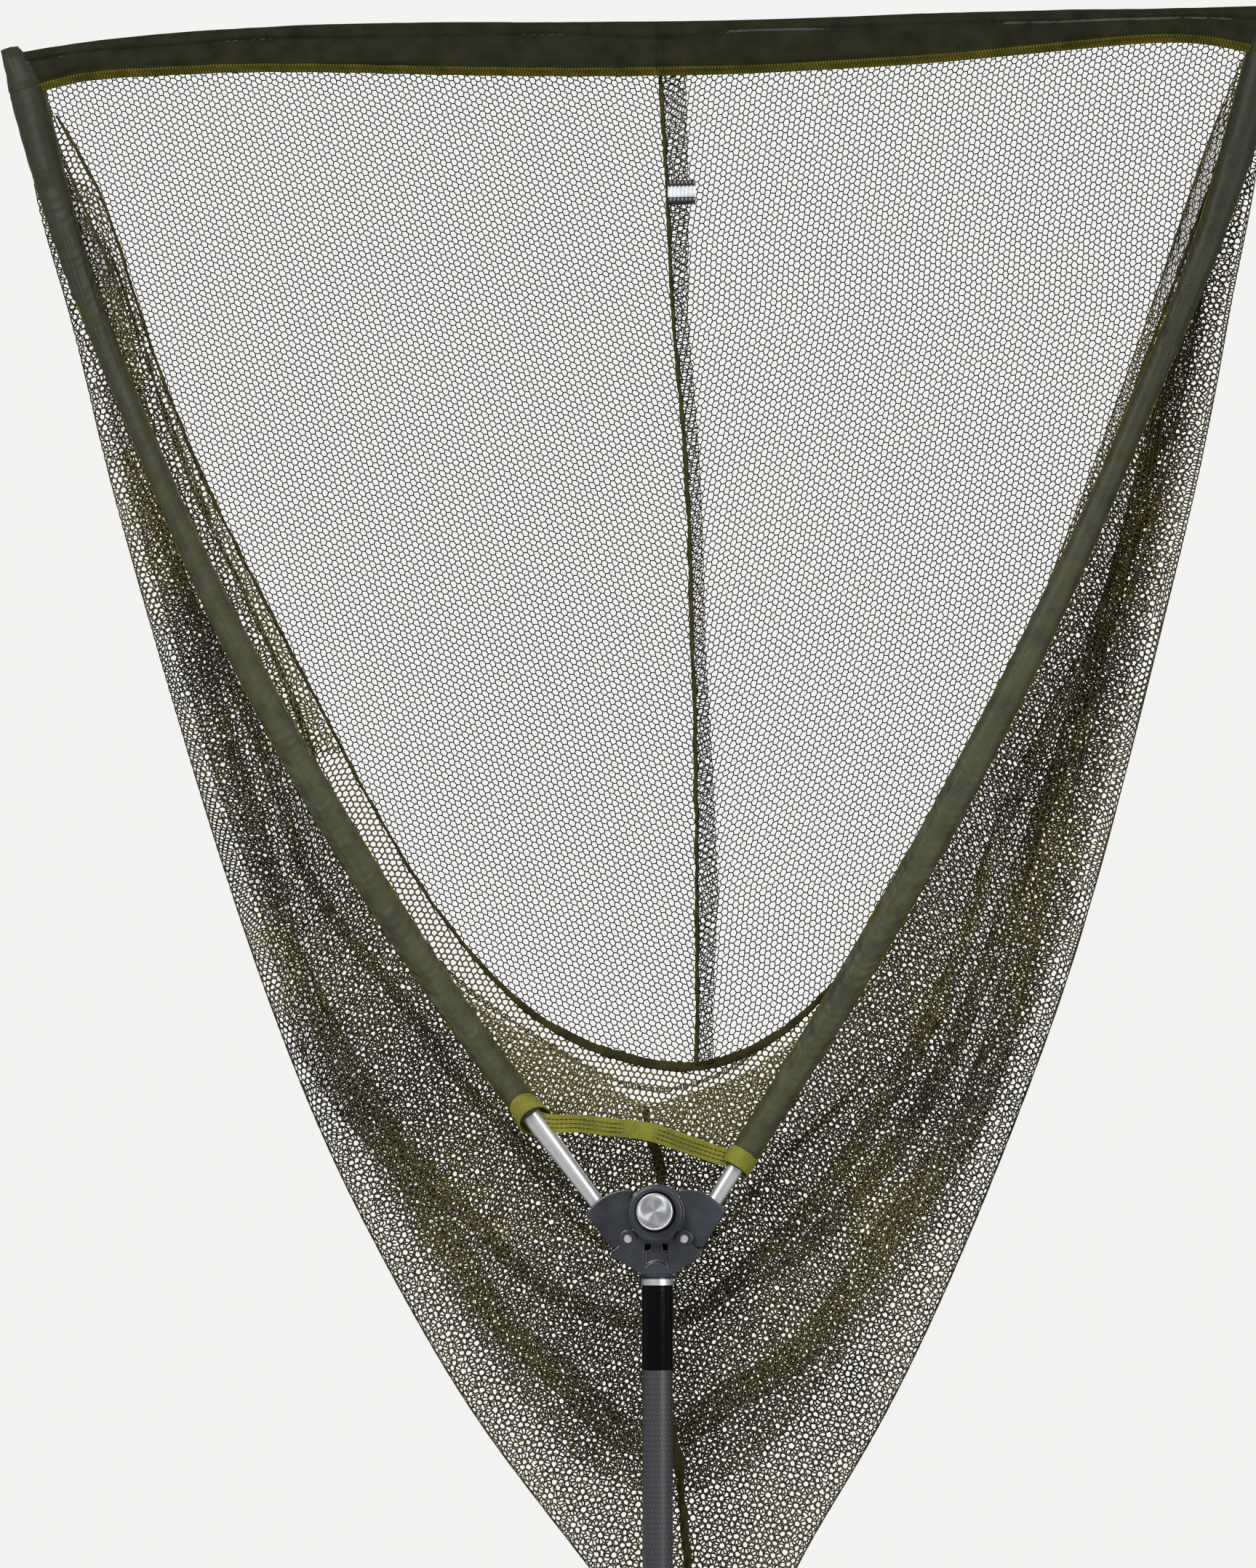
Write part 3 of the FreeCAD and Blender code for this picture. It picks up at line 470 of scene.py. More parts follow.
class Net:
    """Knotless netting: six-sided holes on a lattice of two steps, as real threads.

    place takes flat points and returns their points in the frame and which of them belong to the cloth.
    Each hole's cell has two knots, a and b, and a thread joins an a to a b.
    """

    CORNERS = 2         # a knot's points are its top, its bottom, then a corner between each two threads
    KNOT_POINTS = 5

    def __init__(self, steps, low, high, place):
        self.step = [np.array(s) for s in steps]
        grid = np.linalg.inv(np.array(self.step).T)
        corners = np.array([[x, y] for x in (low[0], high[0]) for y in (low[1], high[1])]) @ grid.T
        first = np.floor(corners.min(0)).astype(int) - 1
        last = np.ceil(corners.max(0)).astype(int) + 2
        i, j = np.meshgrid(np.arange(first[0], last[0]), np.arange(first[1], last[1]), indexing="ij")
        self.shape = i.shape
        centres = i[..., None] * self.step[0] + j[..., None] * self.step[1]
        third = (self.step[0] + self.step[1]) / 3
        wobble = 0.05 * np.linalg.norm(self.step[0])
        self.flat_a = centres + third + chance.normal(0, wobble, centres.shape)
        flat_b = centres + 2 * third + chance.normal(0, wobble, centres.shape)
        near = ((centres > np.array(low) - 0.012) & (centres < np.array(high) + 0.012)).all(2)
        self.centre = self._mapped(place, centres, near)[0]
        self.a, self.keep_a = self._mapped(place, self.flat_a, near)
        self.b, self.keep_b = self._mapped(place, flat_b, near)

    def _mapped(self, place, flat, near):
        points, keep = np.zeros((*self.shape, 3)), np.zeros(self.shape, bool)
        points[near], keep[near] = place(flat[near])
        return points, keep

    def _node_points(self, node, corners, wide, deep):
        """Top, bottom and three corner points of each knot."""
        normal = np.cross(corners[1] - corners[0], corners[2] - corners[0])
        normal /= np.linalg.norm(normal, axis=-1, keepdims=True) + 1e-12
        points = [node + normal * deep / 2, node - normal * deep / 2]
        for corner in corners:
            away = corner - node
            gap = np.linalg.norm(away, axis=-1, keepdims=True) + 1e-12
            points.append(node + away / gap * np.minimum(wide / math.sqrt(3), 0.42 * gap))
        return np.stack(points, 2)

    def threads(self, wide, deep, part=None):
        """Points and faces of the threads. part picks them by the flat place of their lower knot."""
        c, a, b = self.centre, self.a[:-1, :-1], self.b[:-1, :-1]
        rows, columns = a.shape[:2]
        knots_a = self._node_points(a, [c[:-1, :-1], c[1:, :-1], c[:-1, 1:]], wide, deep)
        knots_b = self._node_points(b, [c[1:, 1:], c[:-1, 1:], c[1:, :-1]], wide, deep)
        count = rows * columns
        points = np.concatenate([knots_a.reshape(-1, 3), knots_b.reshape(-1, 3)])
        index = np.arange(count).reshape(rows, columns)
        keep_a, keep_b = self.keep_a[:-1, :-1], self.keep_b[:-1, :-1]
        if part is not None:
            keep_a = keep_a & part(self.flat_a[:-1, :-1])
        faces, threads = [], []
        tied_a, tied_b = np.zeros((rows, columns), bool), np.zeros((rows, columns), bool)
        # Each family: how far b's cell is from a's, then the knot corners on the right and on the left.
        for di, dj, right, left in ((0, 0, (1, 2), (2, 1)), (-1, 0, (2, 0), (0, 2)), (0, -1, (0, 1), (1, 0))):
            here = (slice(-di, None), slice(-dj, None))
            there = (slice(0, rows + di), slice(0, columns + dj))
            joined = np.zeros((rows, columns), bool)
            joined[here] = keep_a[here] & keep_b[there]
            long = np.linalg.norm(a[here] - b[there], axis=-1) > 4 * np.linalg.norm(self.step[0])
            joined[here] &= ~long
            ia = index[joined] * self.KNOT_POINTS
            joined_b = np.zeros((rows, columns), bool)
            joined_b[there] = joined[here]
            ib = (count + index[joined_b]) * self.KNOT_POINTS
            ar, al = (ia + self.CORNERS + corner[0] for corner in (right, left))
            br, bl = (ib + self.CORNERS + corner[1] for corner in (right, left))
            faces += [np.stack(q, 1) for q in ((ia, ar, br, ib), (ar, ia + 1, ib + 1, br),
                                               (ia + 1, al, bl, ib + 1), (al, ia, ib, bl))]
            tied_a |= joined
            tied_b |= joined_b
            threads.append((joined, joined_b, right, left))
        for joined, joined_b, right, left in threads:
            self._cap(faces, index, tied_a & ~joined, right[0], left[0])
            self._cap(faces, index + count, tied_b & ~joined_b, left[1], right[1])
        faces = np.concatenate(faces)
        used, compact = np.unique(faces, return_inverse=True)
        return points[used], compact.reshape(faces.shape)

    def _cap(self, faces, index, loose, right, left):
        """Closes knots on a side where no thread leaves them."""
        i = index[loose] * self.KNOT_POINTS
        faces.append(np.stack([i, i + self.CORNERS + right, i + 1, i + self.CORNERS + left], 1))


class Pleat:
    """A fold lying along a line of (x, height): three layers over a band of a width across the line."""

    def __init__(self, line, width, fade_in, fade_out, lift):
        self.line, self.width, self.lift = Line(line), width, lift
        self.fade_in, self.fade_out = fade_in, fade_out

    def share(self, x):
        return ramp(x, *self.fade_in) * (1 - ramp(x, *self.fade_out))


OVERSHOOT = 1.09    # a fold's band over the run of cloth that turns in it


def folded(pleats, flat):
    """Where flat points lie once the pleats, listed from the bottom up, are laid, and their depth."""
    x, q = flat[:, 0], flat[:, 1]
    height, depth, taken = q.copy(), np.zeros(len(q)), np.zeros(len(q))
    for pleat in pleats:
        run = pleat.width * pleat.line.steepness(x) / OVERSHOOT
        extra = 2 * run * pleat.share(x)
        turned = ramp(q, *(pleat.line.height(x) - run / 2 + extra / 2 + taken + end for end in (0, run)))
        height -= extra * turned
        taken += extra
        depth += pleat.lift * (1 - turned) * pleat.share(x)
    return np.stack([x, height], 1), depth


FRONT_PLEATS = [
    Pleat([(-0.54, 0.96), (-0.51, 0.86), (-0.468, 0.70), (-0.425, 0.56), (-0.385, 0.43), (-0.33, 0.26),
           (-0.288, 0.142), (-0.229, 0.067), (-0.167, -0.030), (-0.123, -0.086), (-0.082, -0.122),
           (-0.024, -0.168), (0.010, -0.165), (0.050, -0.139), (0.111, -0.101), (0.178, -0.016),
           (0.255, 0.092), (0.294, 0.190), (0.349, 0.401), (0.392, 0.541), (0.43, 0.67), (0.468, 0.80),
           (0.505, 0.93)], 0.026, (-0.53, -0.46), (0.43, 0.50), 0.009),
    Pleat([(-0.36, 0.37), (-0.32, 0.27), (-0.28, 0.17), (-0.24, 0.105), (-0.20, 0.052), (-0.157, 0.010),
           (-0.116, -0.031), (-0.082, -0.052), (-0.024, -0.070), (0.009, -0.0695), (0.050, -0.047),
           (0.083, -0.016), (0.119, 0.018), (0.152, 0.059), (0.178, 0.097), (0.240, 0.205), (0.302, 0.372),
           (0.375, 0.515), (0.425, 0.675), (0.462, 0.80), (0.495, 0.92)],
          0.015, (-0.34, -0.27), (0.41, 0.48), 0.008),
    Pleat([(-0.17, 0.13), (-0.146, 0.098), (-0.099, 0.045), (-0.063, 0.005), (-0.03, -0.014), (0.01, -0.018),
           (0.06, 0.017), (0.106, 0.069), (0.162, 0.122), (0.21, 0.19)],
          0.007, (-0.15, -0.11), (0.15, 0.20), 0.004),
    Pleat([(-0.520, 0.85), (-0.478, 0.707), (-0.400, 0.532), (-0.338, 0.40), (-0.2976, 0.297),
           (-0.234, 0.216), (-0.160, 0.122), (-0.122, 0.084), (-0.099, 0.062), (-0.056, 0.030), (0, 0.014),
           (0.06, 0.037), (0.10, 0.085)], 0.012, (-0.50, -0.44), (-0.02, 0.07), 0.006),
]
BACK_PLEATS = [
    Pleat([(-0.52, 0.94), (-0.4945, 0.8845), (-0.442, 0.735), (-0.411, 0.655), (-0.362, 0.550),
           (-0.313, 0.436), (-0.295, 0.385), (-0.24, 0.29), (-0.17, 0.214), (-0.099, 0.166), (-0.054, 0.141),
           (-0.009, 0.128), (0.029, 0.134), (0.073, 0.156), (0.12, 0.20)],
          0.005, (-0.51, -0.47), (0.07, 0.11), -0.003)]

INNER_PLEATS = [
    Pleat([(0.03, -0.06), (0.09, -0.03), (0.16, 0.03), (0.215, 0.10), (0.27, 0.21), (0.315, 0.33),
           (0.36, 0.45), (0.40, 0.58), (0.43, 0.70), (0.46, 0.83)], 0.016, (0.05, 0.12), (0.42, 0.46), 0.004)]

# Where the mesh is sewn on: up both sleeves, and along the strap between them.
STRAP = [(-0.112, 0.108), (-0.091, 0.0965), (-0.069, 0.0962), (-0.040, 0.093), (-0.012, 0.090),
         (0.004, 0.086), (0.027, 0.078), (0.047, 0.071), (0.060, 0.067)]
SLEEVE_FOOT = {"left": 0.132, "right": 0.073}


def sewn_line():
    left = ARM["left"].at(np.linspace(ARM["left"].length - 0.03, SLEEVE_FOOT["left"] + 0.01, 9))
    right = ARM["right"].at(np.linspace(SLEEVE_FOOT["right"] + 0.02, ARM["right"].length - 0.03, 9))
    return Line([*left, *STRAP[2:-2], *right])


SEWN = sewn_line()
FOLD_RADIUS = 0.003


def round_edge(over, radius):
    """How far out and how far round a sheet has gone, past the start of a half-round edge."""
    turn = np.clip(over / radius, 0, math.pi)
    return radius * np.sin(turn) - np.maximum(over - math.pi * radius, 0), radius * (1 - np.cos(turn))


def front_depth(flat, inside_sewn, inside_outline):
    """Depth of the front layer: close behind the sleeves, deeper further out, meeting the outer fold."""
    loose = 0.014 + 0.030 * (1 - np.exp(-np.maximum(-inside_sewn, 0) / 0.03))
    z = flat[:, 1]
    meet = edge_depth(z) - edge_round(z)
    deep = np.where(z > 0.5, np.minimum(loose, meet + 0.004), loose)
    return meet + (deep - meet) * ramp(inside_outline, 0, 0.05)


def place_front(flat):
    spot, lift = folded(FRONT_PLEATS, flat)
    outline, foot, away = SILHOUETTE.inside(spot)
    fold, fold_foot, fold_away = INNER_FOLD.inside(spot)
    sewn = SEWN.inside(spot)[0]
    radius = edge_round(spot[:, 1])
    depth = front_depth(spot, sewn, outline - radius) + lift * ramp(outline, 0.01, 0.05)
    keep = np.ones(len(spot), bool)

    # Past the outer fold the sheet turns round behind.
    over = radius - outline
    out, back = round_edge(np.maximum(over, 0), radius)
    past = over > 0
    spot[past] = (foot - away * (out - radius)[:, None])[past]
    depth = np.where(past, edge_depth(spot[:, 1]) - radius + back, depth)
    keep &= (over < math.pi * radius) & (spot[:, 1] < MESH_TOP)

    # Past the inner fold it turns round in front and runs back to where it is sewn.
    over = fold + FOLD_RADIUS
    out, front = round_edge(np.maximum(over, 0), FOLD_RADIUS)
    turned = (over > 0) & ~past
    spot[turned] = (fold_foot + fold_away * (out - FOLD_RADIUS)[:, None])[turned]
    depth = np.where(turned, depth - front - 0.001, depth)
    back_at_seam = SEWN.inside(spot)[0]
    keep &= ~turned | (over < math.pi * FOLD_RADIUS) | (back_at_seam > -0.004)
    wavy = 0.0025 * np.sin(flat[:, 0] * 41 + flat[:, 1] * 23) * ramp(outline, 0.02, 0.06)
    return world_points(spot, depth + wavy), keep


def place_back(flat):
    spot, lift = folded(BACK_PLEATS, flat)
    outline = SILHOUETTE.inside(spot)[0]
    radius = edge_round(spot[:, 1])
    meet = edge_depth(spot[:, 1]) + radius
    depth = meet + (rear_depth(spot[:, 1]) - meet) * ramp(outline - radius, 0, 0.06) + lift
    inside_panel = BASE_SEAM.inside(spot)[0]
    return world_points(spot, depth), (outline > radius * 0.9) & (inside_panel < 0)


# The lower edge of the spare mesh that hangs inside the bag.
INNER_LAYER = Line([(-0.530, 0.930), (-0.500, 0.830), (-0.452, 0.650), (-0.405, 0.480), (-0.352, 0.310),
                    (-0.300, 0.165), (-0.240, 0.045), (-0.170, -0.068), (-0.100, -0.160), (-0.020, -0.212),
                    (0.060, -0.200), (0.130, -0.132), (0.215, -0.020), (0.290, 0.125), (0.345, 0.270),
                    (0.395, 0.440), (0.440, 0.620), (0.476, 0.800), (0.500, 0.930)])


def place_inner(flat):
    spot, lift = folded(INNER_PLEATS, flat)
    edge = INNER_LAYER.inside(spot)[0]
    inside_panel = BASE_SEAM.inside(spot)[0]
    front = 0.048 * np.ones(len(spot))
    rear = rear_depth(spot[:, 1]) - 0.006
    depth = np.where(spot[:, 1] > 0.5, rear, np.minimum(rear, front + 0.030 * ramp(-inside_panel, 0.20, 0)))
    outside = (spot[:, 1] < SEWN.height(spot[:, 0]) - 0.004) | (spot[:, 1] > 0.42)
    return world_points(spot, depth + lift), (edge > 0) & (inside_panel < 0) & outside & (spot[:, 1] < 0.93)


def panel_depth(z):
    """How far behind the arms the base panel hangs."""
    return read_off([(PANEL_FOOT, 0.096), (1.007, 0.010)], z)


def place_panel(flat):
    """The flat base, with a fold of spare mesh lying beside its middle seam."""
    x, z = flat[:, 0].copy(), flat[:, 1]
    seam = CENTRE_SEAM.reach(z)
    width = np.interp(z, [0.2, 0.3, 0.5, 0.8, 0.86, 1.0], [0.014, 0.019, 0.011, 0.013, 0.017, 0.022])
    run = width / OVERSHOOT
    turned = ramp(x - seam, 0.001 + run, 0.001 + 2 * run)
    gone = x > seam
    x = np.where(gone, x - 2 * run * turned, x)
    waves = 0.002 * np.sin(x * 19 + 1) * np.cos(z * 11)
    depth = panel_depth(z) + waves - np.where(gone, 0.003 * (1 - turned), 0)
    spot = np.stack([x, z], 1)
    edge = BASE_SEAM.inside(spot)[0]
    keep = (edge > -0.001) & (z < PANEL_TOP + 0.004) & (np.abs(flat[:, 0] - seam) > 0.0005)
    return world_points(spot, depth), keep


def half(side, flat, line=None):
    """Whether flat points are on a side of the middle."""
    middle_x = line.reach(flat[..., 1]) if line else 0.005
    return (flat[..., 0] < middle_x) == (side == "left")


def painted_highlight_mark(points):
    """Painted highlight, where the netting is painted pale as if lit: 1 where cloth hangs between the inner
    fold and where it is sewn on, 0 outside the arms, and a little on the two widest folds."""
    x, z = points[:, 0], points[:, 2] - BOLT_Z
    above_sewn = (z - SEWN.height(x)) / SEWN.steepness(x)
    mark = 0.8 * ramp(above_sewn, -0.004, 0.012) * (1 - 0.7 * ramp(z, 0.35, 0.75))
    for pleat in FRONT_PLEATS[:2]:
        away = np.abs(z - pleat.line.height(x)) / pleat.line.steepness(x)
        mark += 0.08 * pleat.share(x) * (1 - ramp(away, 0.3 * pleat.width, 0.9 * pleat.width))
    return mark


# The base panel's own lattice, pulled out of square differently on each side of its middle seam.
PANEL_STEPS = {"left": [(0.00385, 0.00309), (-0.00162, 0.00564)],
               "right": [(0.0052, 0.00337), (0.00119, 0.00613)]}
MESH_PITCH = 0.0056


def net_pieces():
    """Every sheet of netting, in left and right halves small enough to handle."""
    front = Net(hexagons(MESH_PITCH, 17), (-0.60, -0.62), (0.60, 1.75), place_front)
    back = Net(hexagons(MESH_PITCH, -8), (-0.57, -0.40), (0.56, 1.06), place_back)
    inner = Net(hexagons(MESH_PITCH, 37), (-0.54, -0.24), (0.51, 1.10), place_inner)
    for side in SIDES:
        panel = Net(PANEL_STEPS[side], (-0.56, 0.12), (0.60, 1.05), place_panel)
        for name, net, seam, wide, finish, node, length in (
                ("base", panel, CENTRE_SEAM, 0.00102, "panel_net", "base_panel", 0.88),
                ("front", front, None, 0.00133, "pouch_net", "pouch", 1.60),
                ("back", back, None, 0.00155, "back_net", "pouch", 1.30),
                ("inner", inner, None, 0.00145, "back_net", "pouch", 1.15)):
            points, faces = net.threads(wide, wide * 0.8, lambda flat, seam=seam: half(side, flat, seam))
            piece = mesh_piece(f"{side}_{name}_netting", points, faces, FINISH[finish],
                               marks={"painted_highlight": painted_highlight_mark(points) * (name != "base")})
            follow_arm(piece)
            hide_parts(f"{side}_{node}")


net_pieces()


# ---------------------------------------------------------------- cloth, bands and seams

TABLE = chance.random((64, 64))


def ripple(u, v, scale):
    """Smooth uneven waves from -1 to 1 over two lengths; scale is the waves' size."""
    u, v = u / scale, v / scale
    i, j = np.floor(u).astype(int), np.floor(v).astype(int)
    fu, fv = ramp(u - i, 0, 1), ramp(v - j, 0, 1)
    near, far = TABLE[i % 64, j % 64] * (1 - fu), TABLE[(i + 1) % 64, j % 64] * fu
    near_up, far_up = TABLE[i % 64, (j + 1) % 64] * (1 - fu), TABLE[(i + 1) % 64, (j + 1) % 64] * fu
    return 2 * ((near + far) * (1 - fv) + (near_up + far_up) * fv) - 1


def end_cap(columns):
    """Quads that close a ring of points."""
    near = np.arange(columns // 2 - 1)
    return np.stack([near, near + 1, columns - 2 - near, columns - 1 - near], 1)


def sweep(name, path, across, wide, deep, finish, columns, square=1.0, wall=0.0, relief=None):
    """A band, rope or tube along a path. wide and deep are half sizes, across it and towards the viewer;
    square under 1 makes the section boxier; a wall makes it a hollow tube; relief(distance, angle) stands
    out from it."""
    path = np.asarray(path, float)
    rows = len(path)
    steps = np.linalg.norm(np.diff(path, axis=0), axis=1)
    distance = np.concatenate([[0], np.cumsum(steps)])[:, None]
    angle = np.linspace(0, 2 * math.pi, columns, endpoint=False)[None, :]
    cos, sin = np.cos(angle), np.sin(angle)
    u, v = np.sign(cos) * np.abs(cos) ** square, np.sign(sin) * np.abs(sin) ** square
    wide, deep = (np.broadcast_to(w, rows).astype(float)[:, None] for w in (wide, deep))
    across, out = (np.broadcast_to(a, (rows, 3)).astype(float) for a in (across, TOWARDS_VIEWER))
    raised = np.broadcast_to(relief(distance, angle) if relief else 0.0, (rows, columns))

    def ring(inset):
        facing = np.stack([np.broadcast_to(part, (rows, columns)) for part in (u / wide, v / deep)])
        facing /= np.linalg.norm(facing, axis=0) + 1e-9
        lift = raised - inset
        su, sv = wide * u + facing[0] * lift, deep * v + facing[1] * lift
        return path[:, None] + across[:, None] * su[..., None] + out[:, None] * sv[..., None]

    if wall:
        points = np.concatenate([ring(0), ring(wall)[::-1]]).reshape(-1, 3)
        faces = grid_faces(2 * rows, columns, round_rows=True, round_columns=True)
    else:
        points = ring(0).reshape(-1, 3)
        cap = end_cap(columns)
        faces = np.concatenate([grid_faces(rows, columns, round_columns=True), cap,
                                cap[:, ::-1] + (rows - 1) * columns])
    run = np.gradient(path, axis=0)
    if (np.cross(across, out) * run).sum() > 0:
        faces = faces[:, ::-1]
    return mesh_piece(name, points, faces, FINISH[finish])


def across_run(run):
    """The flat direction to the right of each direction of (x, height), in the frame."""
    return np.stack([run[:, 1], np.zeros(len(run)), -run[:, 0]], 1)


def flat_path(line, first, last, spacing, depth):
    """Path along a flat line between two distances, with its across and out directions."""
    at = np.linspace(first, last, max(4, int((last - first) / spacing) + 1))
    spots, run = line.at(at), line.along(at)
    depths = depth(spots[:, 1]) if callable(depth) else np.broadcast_to(depth, len(at))
    return world_points(spots, depths), across_run(run), at


def rope(name, line, first, last, depth, radius, pitch, rough=0.12, bunch=()):
    """A sewn edge drawn up into a twisted roll, thicker round each bunch of (height, half length, gain)."""
    strands = 3
    path, across, _ = flat_path(line, first, last, 0.0016, depth)
    gain = 1 + sum(g * np.exp(-((path[:, 2] - BOLT_Z - z) / half_length) ** 2) for z, half_length, g in bunch)

    def relief(distance, angle):
        twist = np.cos(strands * angle + 2 * math.pi * distance / pitch)
        return radius * (0.22 * twist + rough * ripple(distance, angle * 0.004, 0.003)
                         + 0.25 * ripple(distance, angle * 0, 0.02))
    path[:, 0] += 0.0006 * ripple(path[:, 2], path[:, 0], 0.015)
    return sweep(name, path, across, radius * gain, radius * 0.8, "seam_thread", 16, relief=relief)


def stitches(name, line, first, last, depth, offset):
    """A line of separate stitches on a band's front, each a short thread whose ends dip into the band."""
    length, gap, radius = 0.003, 0.0008, 0.00028
    rings, columns = 5, 6
    count = int((last - first) / (length + gap))
    at = first + (np.arange(count) + 0.5) * (length + gap)
    steps = np.linspace(-0.5, 0.5, rings)
    flat = line.at((at[:, None] + steps * length).ravel())
    run = line.along((at[:, None] + steps * length).ravel())
    flat = flat + np.stack([run[:, 1], -run[:, 0]], 1) * offset
    sink = np.tile([1.4, 0.2, 0.0, 0.2, 1.4], count) * radius
    centre = world_points(flat, depth + sink)
    across = across_run(run)
    angle = np.linspace(0, 2 * math.pi, columns, endpoint=False)
    ring = (centre[:, None] + across[:, None] * (radius * np.cos(angle))[None, :, None]
            + TOWARDS_VIEWER * (radius * np.sin(angle))[None, :, None])
    cap = end_cap(columns)
    one = np.concatenate([grid_faces(rings, columns, round_columns=True), cap,
                          cap[:, ::-1] + (rings - 1) * columns])
    faces = (np.arange(count)[:, None, None] * rings * columns + one).reshape(-1, 4)
    return mesh_piece(name, ring.reshape(-1, 3), faces, FINISH["seam_thread"])


# Sleeve widths as they hang, by height above the bolts: wide where the cloth is slack, narrow where tight.
SLEEVE_WIDTHS = [(0.05, 0.022), (0.11, 0.022), (0.18, 0.023), (0.26, 0.024), (0.36, 0.025), (0.50, 0.0225),
                 (0.63, 0.0185), (0.73, 0.0178), (0.82, 0.0205), (0.89, 0.024), (0.95, 0.028), (1.00, 0.030)]
POCKET_BACK, CLOTH = 0.075, 0.0007


def sleeve_half(z):
    """Half the sleeve's width at a height."""
    return read_off(SLEEVE_WIDTHS, z) / 2


def hung_outwards(path, side):
    """The slack cloth near the corners hangs a little outside the arm."""
    path[:, 0] += SIDES[side] * 0.005 * ramp(path[:, 2] - BOLT_Z, 0.66, 0.88)


def arm_sleeve(side):
    line = ARM[side]
    first, last = SLEEVE_FOOT[side], line.length - 0.026
    path, across, at = flat_path(line, first, last, 0.002, 0.0)
    hung_outwards(path, side)
    wide = sleeve_half(path[:, 2] - BOLT_Z)
    round_foot = 1 - ramp(at - first, 0, 0.16)
    ferrule_low, ferrule_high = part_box(side + "_ferrule")
    over_ferrule = (ferrule_high.y - ferrule_low.y) / 2 + 0.0022
    deep = np.maximum(0.0078, wide * (0.52 + 0.42 * round_foot))
    deep = np.maximum(deep, over_ferrule * (1 - ramp(at, FERRULE_END, FERRULE_END + 0.05)))
    deep = np.maximum(deep, 0.0115 * ramp(at, line.length - 0.15, line.length - 0.10))

    def relief(distance, angle):
        slack = 0.25 + 0.75 * ramp(ripple(distance, distance * 0, 0.12), -0.4, 0.5)
        drag = ripple(distance * 1.5 + 0.020 * np.sin(angle), angle * 0.004, 0.0055)
        long = ripple(distance * 0.12 + 0.004 * angle, angle * 0.02, 0.006)
        return slack * (0.0010 * drag + 0.0007 * long) + 0.0006 * np.abs(np.cos(angle)) ** 24
    piece = sweep(side + "_sleeve_cloth", path, across, wide, deep, "sleeve_cloth", 72, wall=CLOTH,
                  relief=relief)
    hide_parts(side + "_arm_sleeve")
    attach(piece, side + "_arm")
    for edge, sign in (("outer", -1), ("inner", 1)):
        spots = path + across * (sign * (wide + 0.0002))[:, None]
        spots[:, 1] += 0.0012
        welt = sweep(f"{side}_sleeve_{edge}_welt", spots, across, 0.0011, 0.0014, "overlock", 12,
                     relief=lambda d, a: 0.0002 * np.sin(2 * math.pi * d / 0.0022 + a))
        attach(welt, side + "_arm")


def strap_loop(side, tilt):
    """The webbing loop round a sleeve's lower end; it stands open a little at its mouth."""
    line = ARM[side]
    low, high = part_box(side + "_strap_loop")
    first, width = SLEEVE_FOOT[side] - 0.001 - 0.004 * tilt, 0.015
    path, across, at = flat_path(line, first, first + width, 0.0005, 0.0)
    along = (at - first) / width
    wide = sleeve_half(path[:, 2] - BOLT_Z) + 0.0018 + tilt * (1 - along) * 0.0022
    deep = np.full(len(at), (high.y - low.y) / 2 + 0.0004)

    def relief(distance, angle):
        ribs = np.cos(2 * math.pi * distance / 0.00125)
        return 0.00012 * ribs + 0.0003 * ripple(angle * 0.01, distance, 0.008)
    piece = sweep(side + "_loop_webbing", path, across, wide, deep, "webbing", 96, wall=0.0014, relief=relief)
    up_arm = Vector((*line.along([first])[0], 0)).xzy
    for vertex in piece.data.vertices:
        vertex.co -= up_arm * vertex.co.y * (0.12 + 0.42 * tilt)
    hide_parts(side + "_strap_loop")
    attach(piece, side + "_arm")


def cross_strap():
    line = Line([(-0.101, 0.099), *STRAP[1:]])
    low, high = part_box("cross_strap")
    depth = (low.y + high.y) / 2
    middle = line.length / 2
    for side, (first, last) in {"left": (0, middle), "right": (middle, line.length)}.items():
        path, across, at = flat_path(line, first, last, 0.0005, depth)
        path[:, 1] -= 0.002 * np.sin(at / line.length * math.pi) + 0.0012 * np.sin(at * 90)

        def relief(distance, angle):
            ribs = np.cos(2 * math.pi * (np.cos(angle)) * 0.0075 / 0.0013)
            cross = np.cos(2 * math.pi * distance / 0.0012)
            return 0.00010 * ribs * cross + 0.0002 * ripple(distance, np.cos(angle) * 0.0075, 0.006)
        piece = sweep(side + "_strap_webbing", path, across, 0.0076, 0.0008, "webbing", 64, 0.3,
                      relief=relief)
        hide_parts("cross_strap")
        for k, offset in enumerate((-0.0035, 0.0, 0.0035)):
            row = stitches(f"{side}_strap_stitching_{k + 1}", line, first, last, depth - 0.0030, offset)
            follow_arm(row)
        follow_arm(piece)


HEM_TOP = Line([(-0.5676, 1.0415), (-0.520, 1.0485), (-0.453, 1.055), (-0.297, 1.0605), (-0.001, 1.0555),
                (0.252, 1.056), (0.53, 1.0545)])
HEM_FOOT = Line([(-0.555, 1.004), (-0.518, 1.0136), (-0.455, 1.0185), (-0.388, 1.0200), (-0.1935, 1.0135),
                 (-0.001, 1.0075), (0.189, 1.0105), (0.377, 1.0225), (0.471, 1.0235), (0.522, 1.012)])


